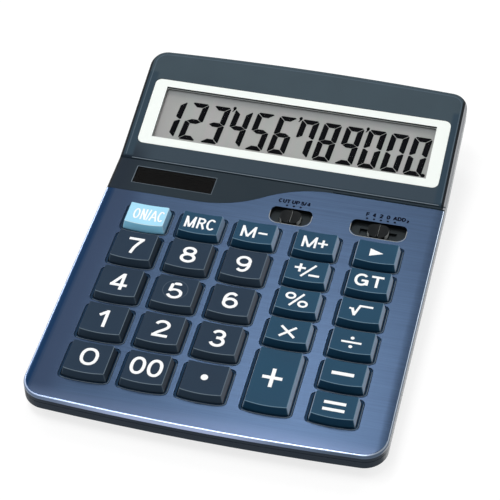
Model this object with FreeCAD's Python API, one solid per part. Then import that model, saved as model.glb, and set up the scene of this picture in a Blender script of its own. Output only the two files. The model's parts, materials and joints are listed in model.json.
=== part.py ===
"""A desktop calculator with a blue metal faceplate, raised keys, two slide switches and a fixed sloping display.

Millimetres, +X to the right, +Y towards the display, +Z up, origin on the table under the middle of the footprint.
Two working frames lie on the sloping surfaces, each written as (x, along, height):
the key deck's starts at its front edge, and the head's starts at the crease where the display face begins.
"""
import FreeCAD, Part
import math
import os

# %% Case
side_margin = 21.4
head_run = 55.2
deck_slope = 2.5
head_slope = 15.2
front_bow = 1.8
rear_bow = 1.45
front_corner = 9.0
rear_corner = 7.0
edge_round = 1.0
roll_width = 4.0
roll_radius = 25.0
seam_depth = 3.2
seam_groove = 0.25
seam_inset = 0.4
rim_depth = 6.5
wall = 2.0
deck_thickness = 2.0
head_thickness = 2.4
lip_wall = 1.0
lip_height = 1.8
lip_clearance = 0.15
ledge = 1.8
foot_height = 1.2
floor_thickness = 1.6
tub_wall = 1.8
tub_inset_top = 1.5
tub_inset_base = 4.0
tub_edge_round = 1.0

# %% Faceplate
plate_thickness = 0.8
plate_rim = 1.6
plate_rim_wall = 0.9
plate_gap = 0.15
low_edge_margin = 7.65
curve_start_offset = -6.0
curve_end_offset = 0.2
crease_channel = 0.6
crease_rib = 0.8
groove_width = 1.0
groove_lead = 0.7
groove_depth = 0.8
groove_bevel = 0.45

# %% Keys
first_row = 11.3
opening_width = 19.75
number_column_gap = 2.05
function_column_gap = 4.25
function_opening = 14.5
function_row_gap = 0.83
number_row_gap = 1.5
top_row_gap = 0.95
opening_bow_front = 0.75
opening_bow_rear = 0.4
opening_corner = 2.0
collar_wall = 0.85
collar_drop = 0.2
key_clearance = 0.4
key_rise = 3.2
key_side_draft = 0.75
key_front_draft = 0.6
key_rear_draft = 0.3
key_edge_round = 0.25
key_corner_round = 0.6
key_wall = 1.1
key_top = 1.2
key_travel = 2.2
flange_reach = 0.9
flange_thickness = 0.8
flange_gap = 0.2
post_diameter = 5.0
dish_radius = 4.8
dish_depth = 0.35

# %% Rubber keypad and circuit board
dome_gap = 0.15
dome_top = 5.2
dome_base = 9.0
mat_thickness = 0.6
mat_margin = 0.5
mat_hole_clearance = 0.3
press_room = 0.2
board_gap = 0.2
board_lead = 3.8
board_reach = 4.8
board_thickness = 1.2
board_room = 1.7
board_corner = 1.5
board_post = 3.6
board_support = 3.0

# %% Slide switches
slot_margin = 3.25
slot_depth_along = 8.8
slot_round_rear = 2.2
slot_round_front = 4.3
rounding_slot_offset = 10.8
rounding_slot_width = 16.6
decimal_slot_offset = -2.2
decimal_slot_width = 22.0
switch_pitch = 2.75
rounding_steps = 1
decimal_steps = 2
recess_floor = 1.9
knob_width = 8.3
knob_length = 7.0
knob_round = 3.0
knob_gap = 0.15
knob_top = 0.25
knob_dish_radius = 14.0
knob_dish_depth = 0.5
fin_width = 0.7
fin_length = 6.2
fin_rise = 0.75
fin_round = 0.3
stem_width = 3.0
stem_length = 2.4
stem_clearance = 0.3
keeper_width = 6.0
keeper_length = 5.0
keeper_thickness = 0.6
wiper_width = 4.0
wiper_thickness = 0.25
wiper_gap = 0.1
wiper_toe = 0.5

# %% Solar cell and its window
solar_offset = -12.3
solar_margin = 5.1
solar_width = 33.0
solar_length = 9.3
solar_round = 0.6
crease_margin = 4.22
fit_gap = 0.1
solar_window_thickness = 1.0
solar_window_drop = 0.15
solar_ledge = 1.0
solar_ledge_thickness = 1.05
solar_cell_overhang = 0.7
solar_cell_thickness = 1.1

# %% Display
lens_side_margin = 4.9
lens_front = 8.1
lens_rear_margin = 16.2
lens_round = 2.7
lens_thickness = 1.2
lens_drop = 0.05
mask_thickness = 0.3
surround_side = 5.45
surround_front = 3.8
surround_rear = 3.5
view_round = 0.9
window_margin = 0.8
panel_side_overlap = 2.8
panel_end_overlap = 2.2
panel_drop = 2.7
panel_thickness = 1.8
holder_wall = 1.2
holder_floor = 1.2
holder_gap = 0.2
holder_screw_front_inset = 5.5
holder_screw_rear_inset = 15.5
ear_diameter = 6.4
ear_overlap = 1.0
holder_peg = 4.4
ribbon_side_inset = 13.5
ribbon_thickness = 0.2
ribbon_slot_width = 1.7
ribbon_glue_length = 3.0
ribbon_clearance = 0.6

# %% Screws and feet
case_screw_side = 8.5
case_screw_front = 11.4
case_screw_rear = 9.8
case_boss = 5.2
case_boss_height = 2.4
floor_boss = 5.6
screw_head = 3.6
screw_head_height = 1.4
screw_head_room = 0.15
screw_shank = 2.0
case_screw_length = 6.0
screw_recess = 0.6
driver_slot = 0.5
board_screw_head = 3.2
board_screw_head_height = 0.9
board_screw_shank = 1.6
board_screw_length = 3.4
foot_diameter = 8.0
foot_pocket = 0.4
foot_clearance = 0.2
foot_side = 17.2
foot_front = 15.9
foot_rear = 17.9

# %% Battery
cell_x = -28.0
cell_rear = 16.4
cell_diameter = 11.6
cell_height = 5.4
cell_room = 0.3
cell_cap_diameter = 9.4
cell_cap_height = 0.3
bay_wall = 3.4
bay_roof = 1.2
bay_head_room = 0.8
door_width = 22.0
door_lead = 13.0
door_tongue = 1.0
door_tongue_thickness = 0.8
door_gap = 0.15
rail_height = 1.2
rail_wall = 1.7
grip_count = 4
grip_start = 7.0
grip_pitch = 2.0
grip_length = 11.0
grip_width = 0.8
grip_depth = 0.35
contact_thickness = 0.3
contact_width = 3.0
contact_slot = 1.3
tab_length = 1.2
lead_diameter = 0.9
lead_bend = 2.5
lead_spacing = 3.0

# %% Electronic parts on the board
seal_diameter = 13.0
seal_height = 1.3
capacitor_diameter = 4.0
capacitor_length = 7.0
resistor_length = 3.2
resistor_width = 1.6
resistor_height = 0.6
resistor_pitch = 6.0

# %% Levels under the faceplate, measured down from its top
deck_bottom = plate_thickness + deck_thickness
flange_top = deck_bottom + flange_gap
flange_bottom = flange_top + flange_thickness
mat_top = flange_bottom + key_travel + press_room
board_top = mat_top + mat_thickness
board_bottom = board_top + board_thickness
solar_ledge_bottom = solar_window_drop + solar_window_thickness + solar_ledge_thickness
collar_inset = plate_gap + collar_wall
cap_inset = collar_inset + key_clearance
collar_corner = opening_corner - collar_inset

# %% The key field, measured along the deck from the case's front edge
number_column_pitch = opening_width + number_column_gap
function_column_pitch = opening_width + function_column_gap
function_row_pitch = function_opening + function_row_gap
number_row_pitch = (5 * function_row_pitch + number_row_gap - top_row_gap) / 4
number_opening = number_row_pitch - number_row_gap
tall_opening = function_row_pitch + function_opening
key_field_rear = first_row + 5 * function_row_pitch + function_opening
last_column = number_column_pitch + function_column_pitch


def column(index):
    """Middle of a key column, the first three for numbers and the last two for functions."""
    numbers = min(index, 2)
    return numbers * number_column_pitch + (index - numbers) * function_column_pitch - last_column


slot_front = key_field_rear + slot_margin
plate_low_edge = key_field_rear + low_edge_margin
solar_left = column(0) + solar_offset
solar_front = plate_low_edge + solar_margin
deck_length = solar_front + solar_length + crease_margin
groove_start = deck_length - groove_lead
channel_end = groove_start - crease_rib
plate_high_edge = channel_end - crease_channel - plate_gap
curve_start = column(1) + curve_start_offset
curve_end = column(3) + curve_end_offset

# %% Overall sizes and the two working frames
V = FreeCAD.Vector
base_z = foot_height
floor_z = base_z + floor_thickness
front_height = floor_z + board_room + board_bottom
deck_run = deck_length * math.cos(math.radians(deck_slope))
half_width = last_column + side_margin
overall_width = 2 * half_width
overall_length = deck_run + head_run
front_y = -overall_length / 2
rear_y = overall_length / 2
crease_y = front_y + deck_run
crease_z = front_height + deck_length * math.sin(math.radians(deck_slope))
head_length = head_run / math.cos(math.radians(head_slope))
rear_height = crease_z + head_run * math.tan(math.radians(head_slope))
reach = 2 * (overall_width + overall_length)
DECK = FreeCAD.Placement(V(0, front_y, front_height), FreeCAD.Rotation(V(1, 0, 0), deck_slope))
HEAD = FreeCAD.Placement(V(0, crease_y, crease_z), FreeCAD.Rotation(V(1, 0, 0), head_slope))

# %% Places that follow from the case and the key field
case_screw_x = half_width - case_screw_side
case_boss_split = floor_z + case_boss_height
foot_x = half_width - foot_side
cell_y = rear_y - cell_rear
door_front = cell_y - door_lead
board_half_width = case_screw_x - floor_boss / 2 - board_gap
board_front = first_row - board_lead
board_rear = deck_length + board_reach
mat_half_width = board_half_width - mat_margin
mat_front = first_row + 2 * mat_margin
mat_rear = key_field_rear + mat_margin
post_edge = board_corner + board_screw_shank / 2
between_slots = (column(2) + rounding_slot_offset + column(4) + decimal_slot_offset) / 2
between_slots += (rounding_slot_width - decimal_slot_width) / 4
field_middle = (first_row + key_field_rear) / 2
board_post_places = [
    (column(0) - opening_width / 5, board_front + post_edge),
    (column(4) + opening_width / 5, board_front + post_edge),
    ((column(2) + column(3)) / 2, field_middle),
    ((column(3) + column(4)) / 2, field_middle),
    (between_slots, slot_front + slot_depth_along / 2),
    (column(0) - opening_width / 5, slot_front),
]
board_support_places = [
    (column(1), first_row + number_opening),
    (column(3), first_row + number_opening),
    (column(1), key_field_rear - function_opening),
    (column(3), key_field_rear - function_opening),
    (column(2), board_rear - board_support * 2),
]
seal_place = (column(1), field_middle + number_row_pitch)
capacitor_places = [(column(2), slot_front), (column(2) + capacitor_diameter * 2, slot_front)]
resistor_rows = [field_middle, key_field_rear]
lens_width = overall_width - 2 * lens_side_margin
lens_length = head_length - lens_front - lens_rear_margin
view_width = lens_width - 2 * surround_side
view_front = lens_front + surround_front
view_length = lens_length - surround_front - surround_rear
panel_width = view_width + 2 * panel_side_overlap
panel_front = view_front - panel_end_overlap
panel_length = view_length + 2 * panel_end_overlap
panel_bottom = panel_drop + panel_thickness
ribbon_width = panel_width - 2 * ribbon_side_inset
ribbon_slot_front = panel_front + holder_gap
SWITCHES = {
    "rounding_switch": (column(2) + rounding_slot_offset, rounding_slot_width, rounding_steps),
    "decimal_switch": (column(4) + decimal_slot_offset, decimal_slot_width, decimal_steps),
}


# %% Helpers
def place(shape, frame):
    moved = shape.copy()
    moved.Placement = frame.multiply(moved.Placement)
    return moved


def box(x0, x1, y0, y1, z0, z1):
    return Part.makeBox(x1 - x0, y1 - y0, z1 - z0, V(x0, y0, z0))


def rod(x, y, z0, z1, diameter):
    return Part.makeCylinder(diameter / 2, z1 - z0, V(x, y, z0))


def upright_edges(solid):
    """The edges that run along the shape's own height."""
    found = []
    for edge in solid.Edges:
        start, end = edge.Vertexes[0].Point, edge.Vertexes[-1].Point
        if abs(start.x - end.x) < 1e-6 and abs(start.y - end.y) < 1e-6:
            found.append(edge)
    return found


def rounded_box(x0, x1, y0, y1, z0, z1, radius):
    solid = box(x0, x1, y0, y1, z0, z1)
    return solid.makeFillet(radius, upright_edges(solid))


def prism(edges, lift, height):
    """A solid over a closed row of edges, from lift up by height."""
    face = Part.Face(Part.Wire(edges))
    face.translate(V(0, 0, lift))
    return face.extrude(V(0, 0, height))


def side_prism(points, half):
    """A solid with a side outline given as (along, height), as wide as two halves."""
    wire = Part.makePolygon([V(-half, y, z) for y, z in points + points[:1]])
    return Part.Face(wire).extrude(V(2 * half, 0, 0))


def strip(points, thickness, half):
    """A bent sheet whose one side follows the points, as wide as two halves."""
    normals = []
    for (y0, z0), (y1, z1) in zip(points, points[1:]):
        run = math.hypot(y1 - y0, z1 - z0)
        normals.append(((z0 - z1) / run, (y1 - y0) / run))
    offsets = []
    for i, (y, z) in enumerate(points):
        before = normals[max(i - 1, 0)]
        after = normals[min(i, len(normals) - 1)]
        share = 1 + before[0] * after[0] + before[1] * after[1]
        offsets.append((
            y + thickness * (before[0] + after[0]) / share,
            z + thickness * (before[1] + after[1]) / share,
        ))
    return side_prism(points + offsets[::-1], half)


def joined(shapes):
    """One solid from touching shapes, with no seams left inside flat faces."""
    return shapes[0].multiFuse(shapes[1:]).removeSplitter()


def group(solids):
    return Part.makeCompound(solids)


def bow_radius(sagitta, half_chord):
    return (half_chord ** 2 + sagitta ** 2) / (2 * sagitta)


# %% Outline and layers of the case
front_radius = bow_radius(front_bow, half_width - front_corner / 2)
rear_radius = bow_radius(rear_bow, half_width - rear_corner / 2)


def outline_prism(inset, bottom, top):
    """The case's plan outline, drawn in all round by inset."""
    half = half_width - inset
    front_centre = front_y + front_radius
    rear_centre = rear_y - rear_radius
    front_side = front_centre - math.sqrt((front_radius - inset) ** 2 - half ** 2)
    rear_side = rear_centre + math.sqrt((rear_radius - inset) ** 2 - half ** 2)
    front_left, front_right = V(-half, front_side, 0), V(half, front_side, 0)
    rear_left, rear_right = V(-half, rear_side, 0), V(half, rear_side, 0)
    edges = [
        Part.Arc(front_left, V(0, front_y + inset, 0), front_right).toShape(),
        Part.makeLine(front_right, rear_right),
        Part.Arc(rear_right, V(0, rear_y - inset, 0), rear_left).toShape(),
        Part.makeLine(rear_left, front_left),
    ]
    solid = prism(edges, bottom, top - bottom)
    uprights = upright_edges(solid)
    front_edges = [e for e in uprights if e.Vertexes[0].Point.y < 0]
    rear_edges = [e for e in uprights if e.Vertexes[0].Point.y > 0]
    solid = solid.makeFillet(max(front_corner - inset, 1.0), front_edges)
    uprights = [e for e in upright_edges(solid) if e.Vertexes[0].Point.y > 0]
    corners = [e for e in uprights if abs(abs(e.Vertexes[0].Point.x) - half) < 1e-4]
    return solid.makeFillet(max(rear_corner - inset, 1.0), corners[:len(rear_edges)])


def below_layer(deck_depth, head_depth):
    """Everything under the surface that lies this deep in the deck and in the head."""
    deck = place(box(-reach, reach, -reach, deck_length + reach / 4, -reach, -deck_depth), DECK)
    head = place(box(-reach, reach, -reach / 8, reach, -reach, -head_depth), HEAD)
    return deck.fuse(head)


def rolled_roof(frame):
    """A block whose flat top rolls off softly towards both sides."""
    flat = half_width - roll_width
    edge = half_width + roll_width
    middle = (flat + edge) / 2

    def drop(x):
        return math.sqrt(roll_radius ** 2 - (x - flat) ** 2) - roll_radius

    bottom = -reach / 4
    edges = [
        Part.makeLine(V(-edge, 0, bottom), V(-edge, 0, drop(edge))),
        Part.Arc(V(-edge, 0, drop(edge)), V(-middle, 0, drop(middle)), V(-flat, 0, 0)).toShape(),
        Part.makeLine(V(-flat, 0, 0), V(flat, 0, 0)),
        Part.Arc(V(flat, 0, 0), V(middle, 0, drop(middle)), V(edge, 0, drop(edge))).toShape(),
        Part.makeLine(V(edge, 0, drop(edge)), V(edge, 0, bottom)),
        Part.makeLine(V(edge, 0, bottom), V(-edge, 0, bottom)),
    ]
    face = Part.Face(Part.Wire(edges))
    face.translate(V(0, -reach, 0))
    return place(face.extrude(V(0, 2 * reach, 0)), frame)


def rounded_top(frame, side):
    """The part of the outline inside side under one sloping roof, its outer top edges rounded."""
    solid = outline_prism(0, -reach / 6, reach / 4).common(rolled_roof(frame)).common(side).Solids[0]
    inverse = frame.inverse()
    edges = []
    for edge in solid.Edges:
        middle = edge.valueAt((edge.FirstParameter + edge.LastParameter) / 2)
        on_top = all(abs(inverse.multVec(v.Point).z) < edge_round for v in edge.Vertexes)
        roll_line = abs(abs(middle.x) - (half_width - roll_width)) < 1e-3 and edge.Length > roll_width * 4
        at_crease = abs(middle.y - crease_y) < 1e-3
        if on_top and not roll_line and not at_crease:
            edges.append(edge)
    return solid.makeFillet(edge_round, edges)


AHEAD = box(-reach, reach, -reach, crease_y, -reach, reach)
BEHIND = box(-reach, reach, crease_y, reach, -reach, reach)


def outer_case():
    """The whole outside: the deck in front of the crease and the head behind it."""
    return rounded_top(DECK, AHEAD).fuse(rounded_top(HEAD, BEHIND)).removeSplitter()


# %% Key places
def key_places():
    """Each key's name with its column's middle, its opening's front edge and its opening's length."""
    rows = {}
    for index, name in enumerate(["key_0", "key_00", "key_point"]):
        rows[name] = (column(index), first_row, number_opening)
    for digit in range(1, 10):
        level, index = divmod(digit - 1, 3)
        front = first_row + (level + 1) * number_row_pitch
        rows["key_%d" % digit] = (column(index), front, number_opening)
    for level, name in enumerate(["key_equals", "key_subtract", "key_divide", "key_root", "key_grand_total"]):
        rows[name] = (column(4), first_row + level * function_row_pitch, function_opening)
    for level, name in enumerate(["key_multiply", "key_percent", "key_sign"]):
        rows[name] = (column(3), first_row + (level + 2) * function_row_pitch, function_opening)
    rows["key_add"] = (column(3), first_row, tall_opening)
    top = ["key_on_clear", "key_memory_recall", "key_memory_subtract", "key_memory_add", "key_step_back"]
    for index, name in enumerate(top):
        rows[name] = (column(index), first_row + 5 * function_row_pitch, function_opening)
    return rows


KEYS = key_places()


def bowed_edges(x, half, front, rear, front_rise, rear_rise, height=0.0):
    """Outline of a key opening or cap: both its long edges sag towards the user."""
    front_left, front_right = V(x - half, front + front_rise, height), V(x + half, front + front_rise, height)
    rear_left, rear_right = V(x - half, rear + rear_rise, height), V(x + half, rear + rear_rise, height)
    return [
        Part.Arc(front_left, V(x, front, height), front_right).toShape(),
        Part.makeLine(front_right, rear_right),
        Part.Arc(rear_right, V(x, rear, height), rear_left).toShape(),
        Part.makeLine(rear_left, front_left),
    ]


def opening_prism(key, inset, bottom, top, radius):
    """A key's opening drawn in by inset, between two heights over the deck."""
    x, front, length = KEYS[key]
    half = opening_width / 2 - inset
    edges = bowed_edges(x, half, front + inset, front + length - inset, opening_bow_front, opening_bow_rear)
    solid = prism(edges, bottom, top - bottom)
    return solid.makeFillet(radius, upright_edges(solid))


def slot_prism(middle_x, width, bottom, top, grow=0.0):
    """A slide switch's opening, rounder at the front than at the rear."""
    x0, x1 = middle_x - width / 2 - grow, middle_x + width / 2 + grow
    y0, y1 = slot_front - grow, slot_front + slot_depth_along + grow
    solid = box(x0, x1, y0, y1, bottom, top)
    middle = (y0 + y1) / 2
    rear_edges = [e for e in upright_edges(solid) if e.Vertexes[0].Point.y > middle]
    solid = solid.makeFillet(slot_round_rear, rear_edges)
    front_edges = [e for e in upright_edges(solid) if e.Vertexes[0].Point.y < y0 + 1e-4]
    return solid.makeFillet(slot_round_front, front_edges)


# %% Faceplate
def plate_footprint(gap):
    """The faceplate's area on the deck: straight at left, then an S-curve up to the crease."""
    low, high = plate_low_edge + gap, plate_high_edge + gap
    run, rise = curve_end - curve_start, high - low
    radius = (run ** 2 + rise ** 2) / (4 * rise)
    half_angle = math.asin(run / 2 / radius) / 2
    sway, lift = radius * math.sin(half_angle), radius * (1 - math.cos(half_angle))
    middle = V(curve_start + run / 2, low + rise / 2, 0)
    start, end = V(curve_start, low, 0), V(curve_end, high, 0)
    side = half_width + roll_width
    front = -roll_width
    corners = [V(-side, low, 0), V(-side, front, 0), V(side, front, 0), V(side, high, 0)]
    edges = [
        Part.Arc(start, V(curve_start + sway, low + lift, 0), middle).toShape(),
        Part.Arc(middle, V(curve_end - sway, high - lift, 0), end).toShape(),
        Part.makeLine(end, corners[3]),
        Part.makeLine(corners[3], corners[2]),
        Part.makeLine(corners[2], corners[1]),
        Part.makeLine(corners[1], corners[0]),
        Part.makeLine(corners[0], start),
    ]
    return place(prism(edges, -plate_rim * 4, plate_rim * 8), DECK)


def faceplate():
    """A pressed metal sheet, turned down round the front and the sides."""
    blank = rounded_top(DECK, AHEAD).common(plate_footprint(0)).cut(below_layer(plate_rim, plate_rim))
    core = outline_prism(plate_rim_wall, base_z, reach / 4)
    core = core.common(below_layer(plate_thickness, plate_thickness))
    sheet = blank.cut(core)
    holes = [opening_prism(key, 0, -2 * plate_thickness, plate_thickness, opening_corner) for key in KEYS]
    for middle_x, width, _ in SWITCHES.values():
        holes.append(slot_prism(middle_x, width, -2 * plate_thickness, plate_thickness))
    return sheet.cut([place(hole, DECK) for hole in holes])


# %% Top housing
def plate_recess():
    """Where the faceplate and its turned-down rim lie on the housing."""
    area = plate_footprint(plate_gap)
    top = area.cut(below_layer(plate_thickness, plate_thickness))
    skirt = area.cut(below_layer(plate_rim + plate_gap, plate_rim + plate_gap))
    skirt = skirt.cut(outline_prism(plate_rim_wall + plate_gap / 2, 0, reach / 4))
    channel = box(curve_end, reach, plate_high_edge, channel_end, -plate_thickness, plate_rim)
    return [top, skirt, place(channel, DECK)]


def crease_groove():
    """The groove along the crease, its edge beside the display face bevelled."""
    start, end = groove_start, groove_start + groove_width
    points = [
        (start, groove_width * 2), (start, -groove_depth), (end, -groove_depth),
        (end, -groove_bevel), (end + groove_bevel * 2, groove_bevel), (end + groove_bevel * 2, groove_width * 2),
    ]
    return place(side_prism(points, reach), DECK)


def solar_seat():
    """Pocket for the solar window, the light opening under it and the cell's pocket below."""
    x0, x1 = solar_left, solar_left + solar_width
    y0, y1 = solar_front, solar_front + solar_length
    pocket_depth = solar_window_drop + solar_window_thickness
    window = rounded_box(x0, x1, y0, y1, -pocket_depth, plate_thickness, solar_round)
    inner = box(x0 + solar_ledge, x1 - solar_ledge, y0 + solar_ledge, y1 - solar_ledge, -seam_depth, 0)
    over = solar_cell_overhang + fit_gap
    cell = box(x0 - over + solar_ledge, x1 + over - solar_ledge, y0 - over + solar_ledge,
               y1 + over - solar_ledge, -seam_depth, -solar_ledge_bottom)
    return [place(part, DECK) for part in (window, inner, cell)]


def display_seat():
    """Pocket for the display's lens and frame, and the opening to the panel."""
    half = lens_width / 2 + fit_gap
    depth = lens_drop + lens_thickness + mask_thickness
    pocket = rounded_box(-half, half, lens_front - fit_gap, lens_front + lens_length + fit_gap,
                         -depth, depth, lens_round)
    view_half = view_width / 2 + window_margin
    window = rounded_box(-view_half, view_half, view_front - window_margin,
                         view_front + view_length + window_margin, -head_thickness * 2, 0, view_round)
    return [place(part, HEAD) for part in (pocket, window)]


def stem_slot(middle, steps):
    """The slot that a switch's stem slides in."""
    half = stem_width / 2 + steps * switch_pitch + stem_clearance
    y = slot_front + slot_depth_along / 2
    half_along = stem_length / 2 + stem_clearance
    return box(middle - half, middle + half, y - half_along, y + half_along, -deck_bottom - 1, 0)


def case_screw_places():
    rows = (front_y + case_screw_front, 0.0, rear_y - case_screw_rear)
    return [(side * case_screw_x, y) for side in (-1, 1) for y in rows]


def holder_screw_places():
    out = holder_gap + holder_wall + ear_diameter / 2 - ear_overlap
    front, rear = panel_front - out, panel_front + panel_length + out
    places = []
    for side in (-1, 1):
        places.append((side * (panel_width / 2 - holder_screw_front_inset), front))
        places.append((side * (panel_width / 2 - holder_screw_rear_inset), rear))
    return places


def top_housing():
    under = below_layer(seam_depth, seam_depth)
    cavity = outline_prism(wall, base_z, reach / 4).common(below_layer(deck_bottom, head_thickness))
    shell = outer_case().cut(under).cut(cavity)
    shell = shell.cut(plate_recess() + [crease_groove()])

    ring = outline_prism(wall + lip_clearance, base_z, reach / 4)
    ring = ring.cut(outline_prism(wall + lip_clearance + lip_wall, base_z - 1, reach / 2))
    lip = ring.common(below_layer(deck_bottom, head_thickness))
    lip = lip.cut(below_layer(deck_bottom + lip_height, deck_bottom + lip_height))

    inside = below_layer(deck_bottom, head_thickness)
    bosses = [rod(x, y, case_boss_split, reach / 4, case_boss).common(inside) for x, y in case_screw_places()]
    posts = [place(rod(x, y, -board_top, -deck_bottom, board_post), DECK) for x, y in board_post_places]
    pegs = []
    for x, y in holder_screw_places():
        pegs.append(place(rod(x, y, -panel_bottom, -head_thickness, holder_peg), HEAD))
    collars = [
        place(opening_prism(key, plate_gap, -deck_bottom, -collar_drop, opening_corner - plate_gap), DECK)
        for key in KEYS
    ]
    shell = joined([shell, lip] + bosses + posts + pegs + collars)

    cuts = [
        place(opening_prism(key, collar_inset, -2 * deck_bottom, plate_thickness, collar_corner), DECK)
        for key in KEYS
    ]
    for middle_x, width, steps in SWITCHES.values():
        cuts.append(place(slot_prism(middle_x, width, -recess_floor, plate_thickness, fit_gap), DECK))
        cuts.append(place(stem_slot(middle_x, steps), DECK))
    cuts += solar_seat() + display_seat()
    pilot_top = case_boss_split + case_screw_length - screw_head_height
    cuts += [rod(x, y, 0, pilot_top, screw_shank) for x, y in case_screw_places()]
    pilot = board_screw_length - board_thickness
    for x, y in board_post_places:
        cuts.append(place(rod(x, y, -board_top, -board_top + pilot, board_screw_shank), DECK))
    for x, y in holder_screw_places():
        cuts.append(place(rod(x, y, -panel_bottom, -panel_bottom + pilot, board_screw_shank), HEAD))
    return shell.cut(cuts)


# %% Bottom shell
def tub_block(inset, bottom):
    """The tapered lower body, its sides drawn in further towards the base."""
    spread = (tub_inset_base - tub_inset_top) / (rear_height - base_z)
    wires = []
    for z in (bottom, rear_height):
        slab = outline_prism(tub_inset_base + inset - spread * (z - base_z), z, z + 1)
        lowest = min(slab.Faces, key=lambda face: face.CenterOfMass.z)
        wires.append(lowest.OuterWire)
    return Part.makeLoft(wires, True, True)


def door_area(grow, bottom, top, tongue):
    """The battery door's plate or its tongues, out to behind the case."""
    half = door_width / 2 + grow + tongue
    return box(cell_x - half, cell_x + half, door_front - grow, rear_y, bottom, top)


def bay_top():
    return floor_z + cell_room + cell_height + cell_cap_height + bay_head_room


def contact_level():
    """Middle height of the contact at the cell's side."""
    return floor_z + cell_room + cell_height / 2


def side_contact_x():
    return cell_x + cell_diameter / 2 + fit_gap


def bottom_shell():
    groove_floor = seam_depth + seam_groove
    rim = outline_prism(0, base_z, reach / 4).common(below_layer(groove_floor, groove_floor))
    step = outline_prism(seam_inset, base_z, reach / 4).common(below_layer(seam_depth, seam_depth))
    rim = rim.fuse(step).cut(below_layer(rim_depth, rim_depth))
    tub = tub_block(0, base_z)
    base_edges = [e for e in tub.Edges if e.BoundBox.ZMax < base_z + 1e-3]
    tub = tub.makeFillet(tub_edge_round, base_edges)
    tub = tub.common(below_layer(rim_depth - ledge, rim_depth - ledge))
    shell = rim.fuse(tub)

    upper = outline_prism(wall, base_z, reach / 4).cut(below_layer(rim_depth - ledge, rim_depth - ledge))
    shell = shell.cut([upper, tub_block(tub_wall, floor_z)])

    board = below_layer(board_bottom, board_bottom)
    extras = [rod(x, y, base_z, case_boss_split, floor_boss) for x, y in case_screw_places()]
    for x, along in board_support_places:
        foot = DECK.multVec(V(x, along, -board_bottom))
        extras.append(rod(x, foot.y, base_z, reach / 8, board_support).common(board))
    half_bay = cell_diameter / 2 + bay_wall
    roof = bay_top() + bay_roof
    bay = box(cell_x - half_bay, cell_x + half_bay, cell_y - half_bay, cell_y + half_bay, base_z, roof)
    rails_half = door_width / 2 + door_tongue + rail_wall
    rails = box(cell_x - rails_half, cell_x + rails_half, door_front - rail_wall,
                rear_y - tub_inset_base - tub_wall, base_z, floor_z + rail_height)
    shell = joined([shell] + extras + [bay, rails])

    cuts = []
    for x, y in case_screw_places():
        head_top = base_z + screw_recess + screw_head_height
        cuts.append(rod(x, y, base_z - 1, head_top, screw_head + 2 * screw_head_room))
        cuts.append(rod(x, y, base_z, case_boss_split + 1, screw_shank + 2 * screw_head_room))
    for x, y in foot_places():
        cuts.append(rod(x, y, base_z - 1, base_z + foot_pocket, foot_diameter + foot_clearance))
    cuts.append(door_area(door_gap, base_z - 1, floor_z, 0))
    cuts.append(door_area(door_gap, floor_z - door_tongue_thickness - door_gap, floor_z + door_gap, door_tongue))
    cuts.append(rod(cell_x, cell_y, base_z, bay_top(), cell_diameter + 2 * cell_room))
    cuts += contact_slots()
    return shell.cut(cuts)


def contact_slots():
    """Room in the bay's walls for both contacts and the tabs that their leads are soldered to."""
    front = cell_y - cell_diameter / 2 - bay_wall - 1
    x = side_contact_x()
    grow = fit_gap
    half = contact_width / 2 + grow
    level = contact_level()
    side = box(x - grow, x + contact_slot, front, cell_y + half, level - half, level + half)
    top = bay_top()
    leaf = box(cell_x - half, cell_x + half, front, cell_y, top - contact_thickness - 2 * grow, top)
    return [side, leaf]


def battery_door():
    """The sliding cover over the button cell, with finger grooves and a tongue along each side."""
    plate = door_area(0, base_z, floor_z, 0)
    tongues = door_area(0, floor_z - door_tongue_thickness, floor_z, door_tongue)
    door = joined([plate, tongues]).common(tub_block(0, base_z))
    grips = []
    for index in range(grip_count):
        y = door_front + grip_start + index * grip_pitch
        grips.append(box(cell_x - grip_length / 2, cell_x + grip_length / 2, y, y + grip_width,
                         base_z - 1, base_z + grip_depth))
    return door.cut(grips)


def foot_places():
    return [(side * foot_x, y) for side in (-1, 1) for y in (front_y + foot_front, rear_y - foot_rear)]


def rubber_feet():
    feet = []
    for x, y in foot_places():
        foot = rod(x, y, 0, base_z + foot_pocket, foot_diameter)
        lowest = [e for e in foot.Edges if e.BoundBox.ZMax < 1e-3]
        feet.append(foot.makeFillet(foot_pocket, lowest))
    return group(feet)


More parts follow.
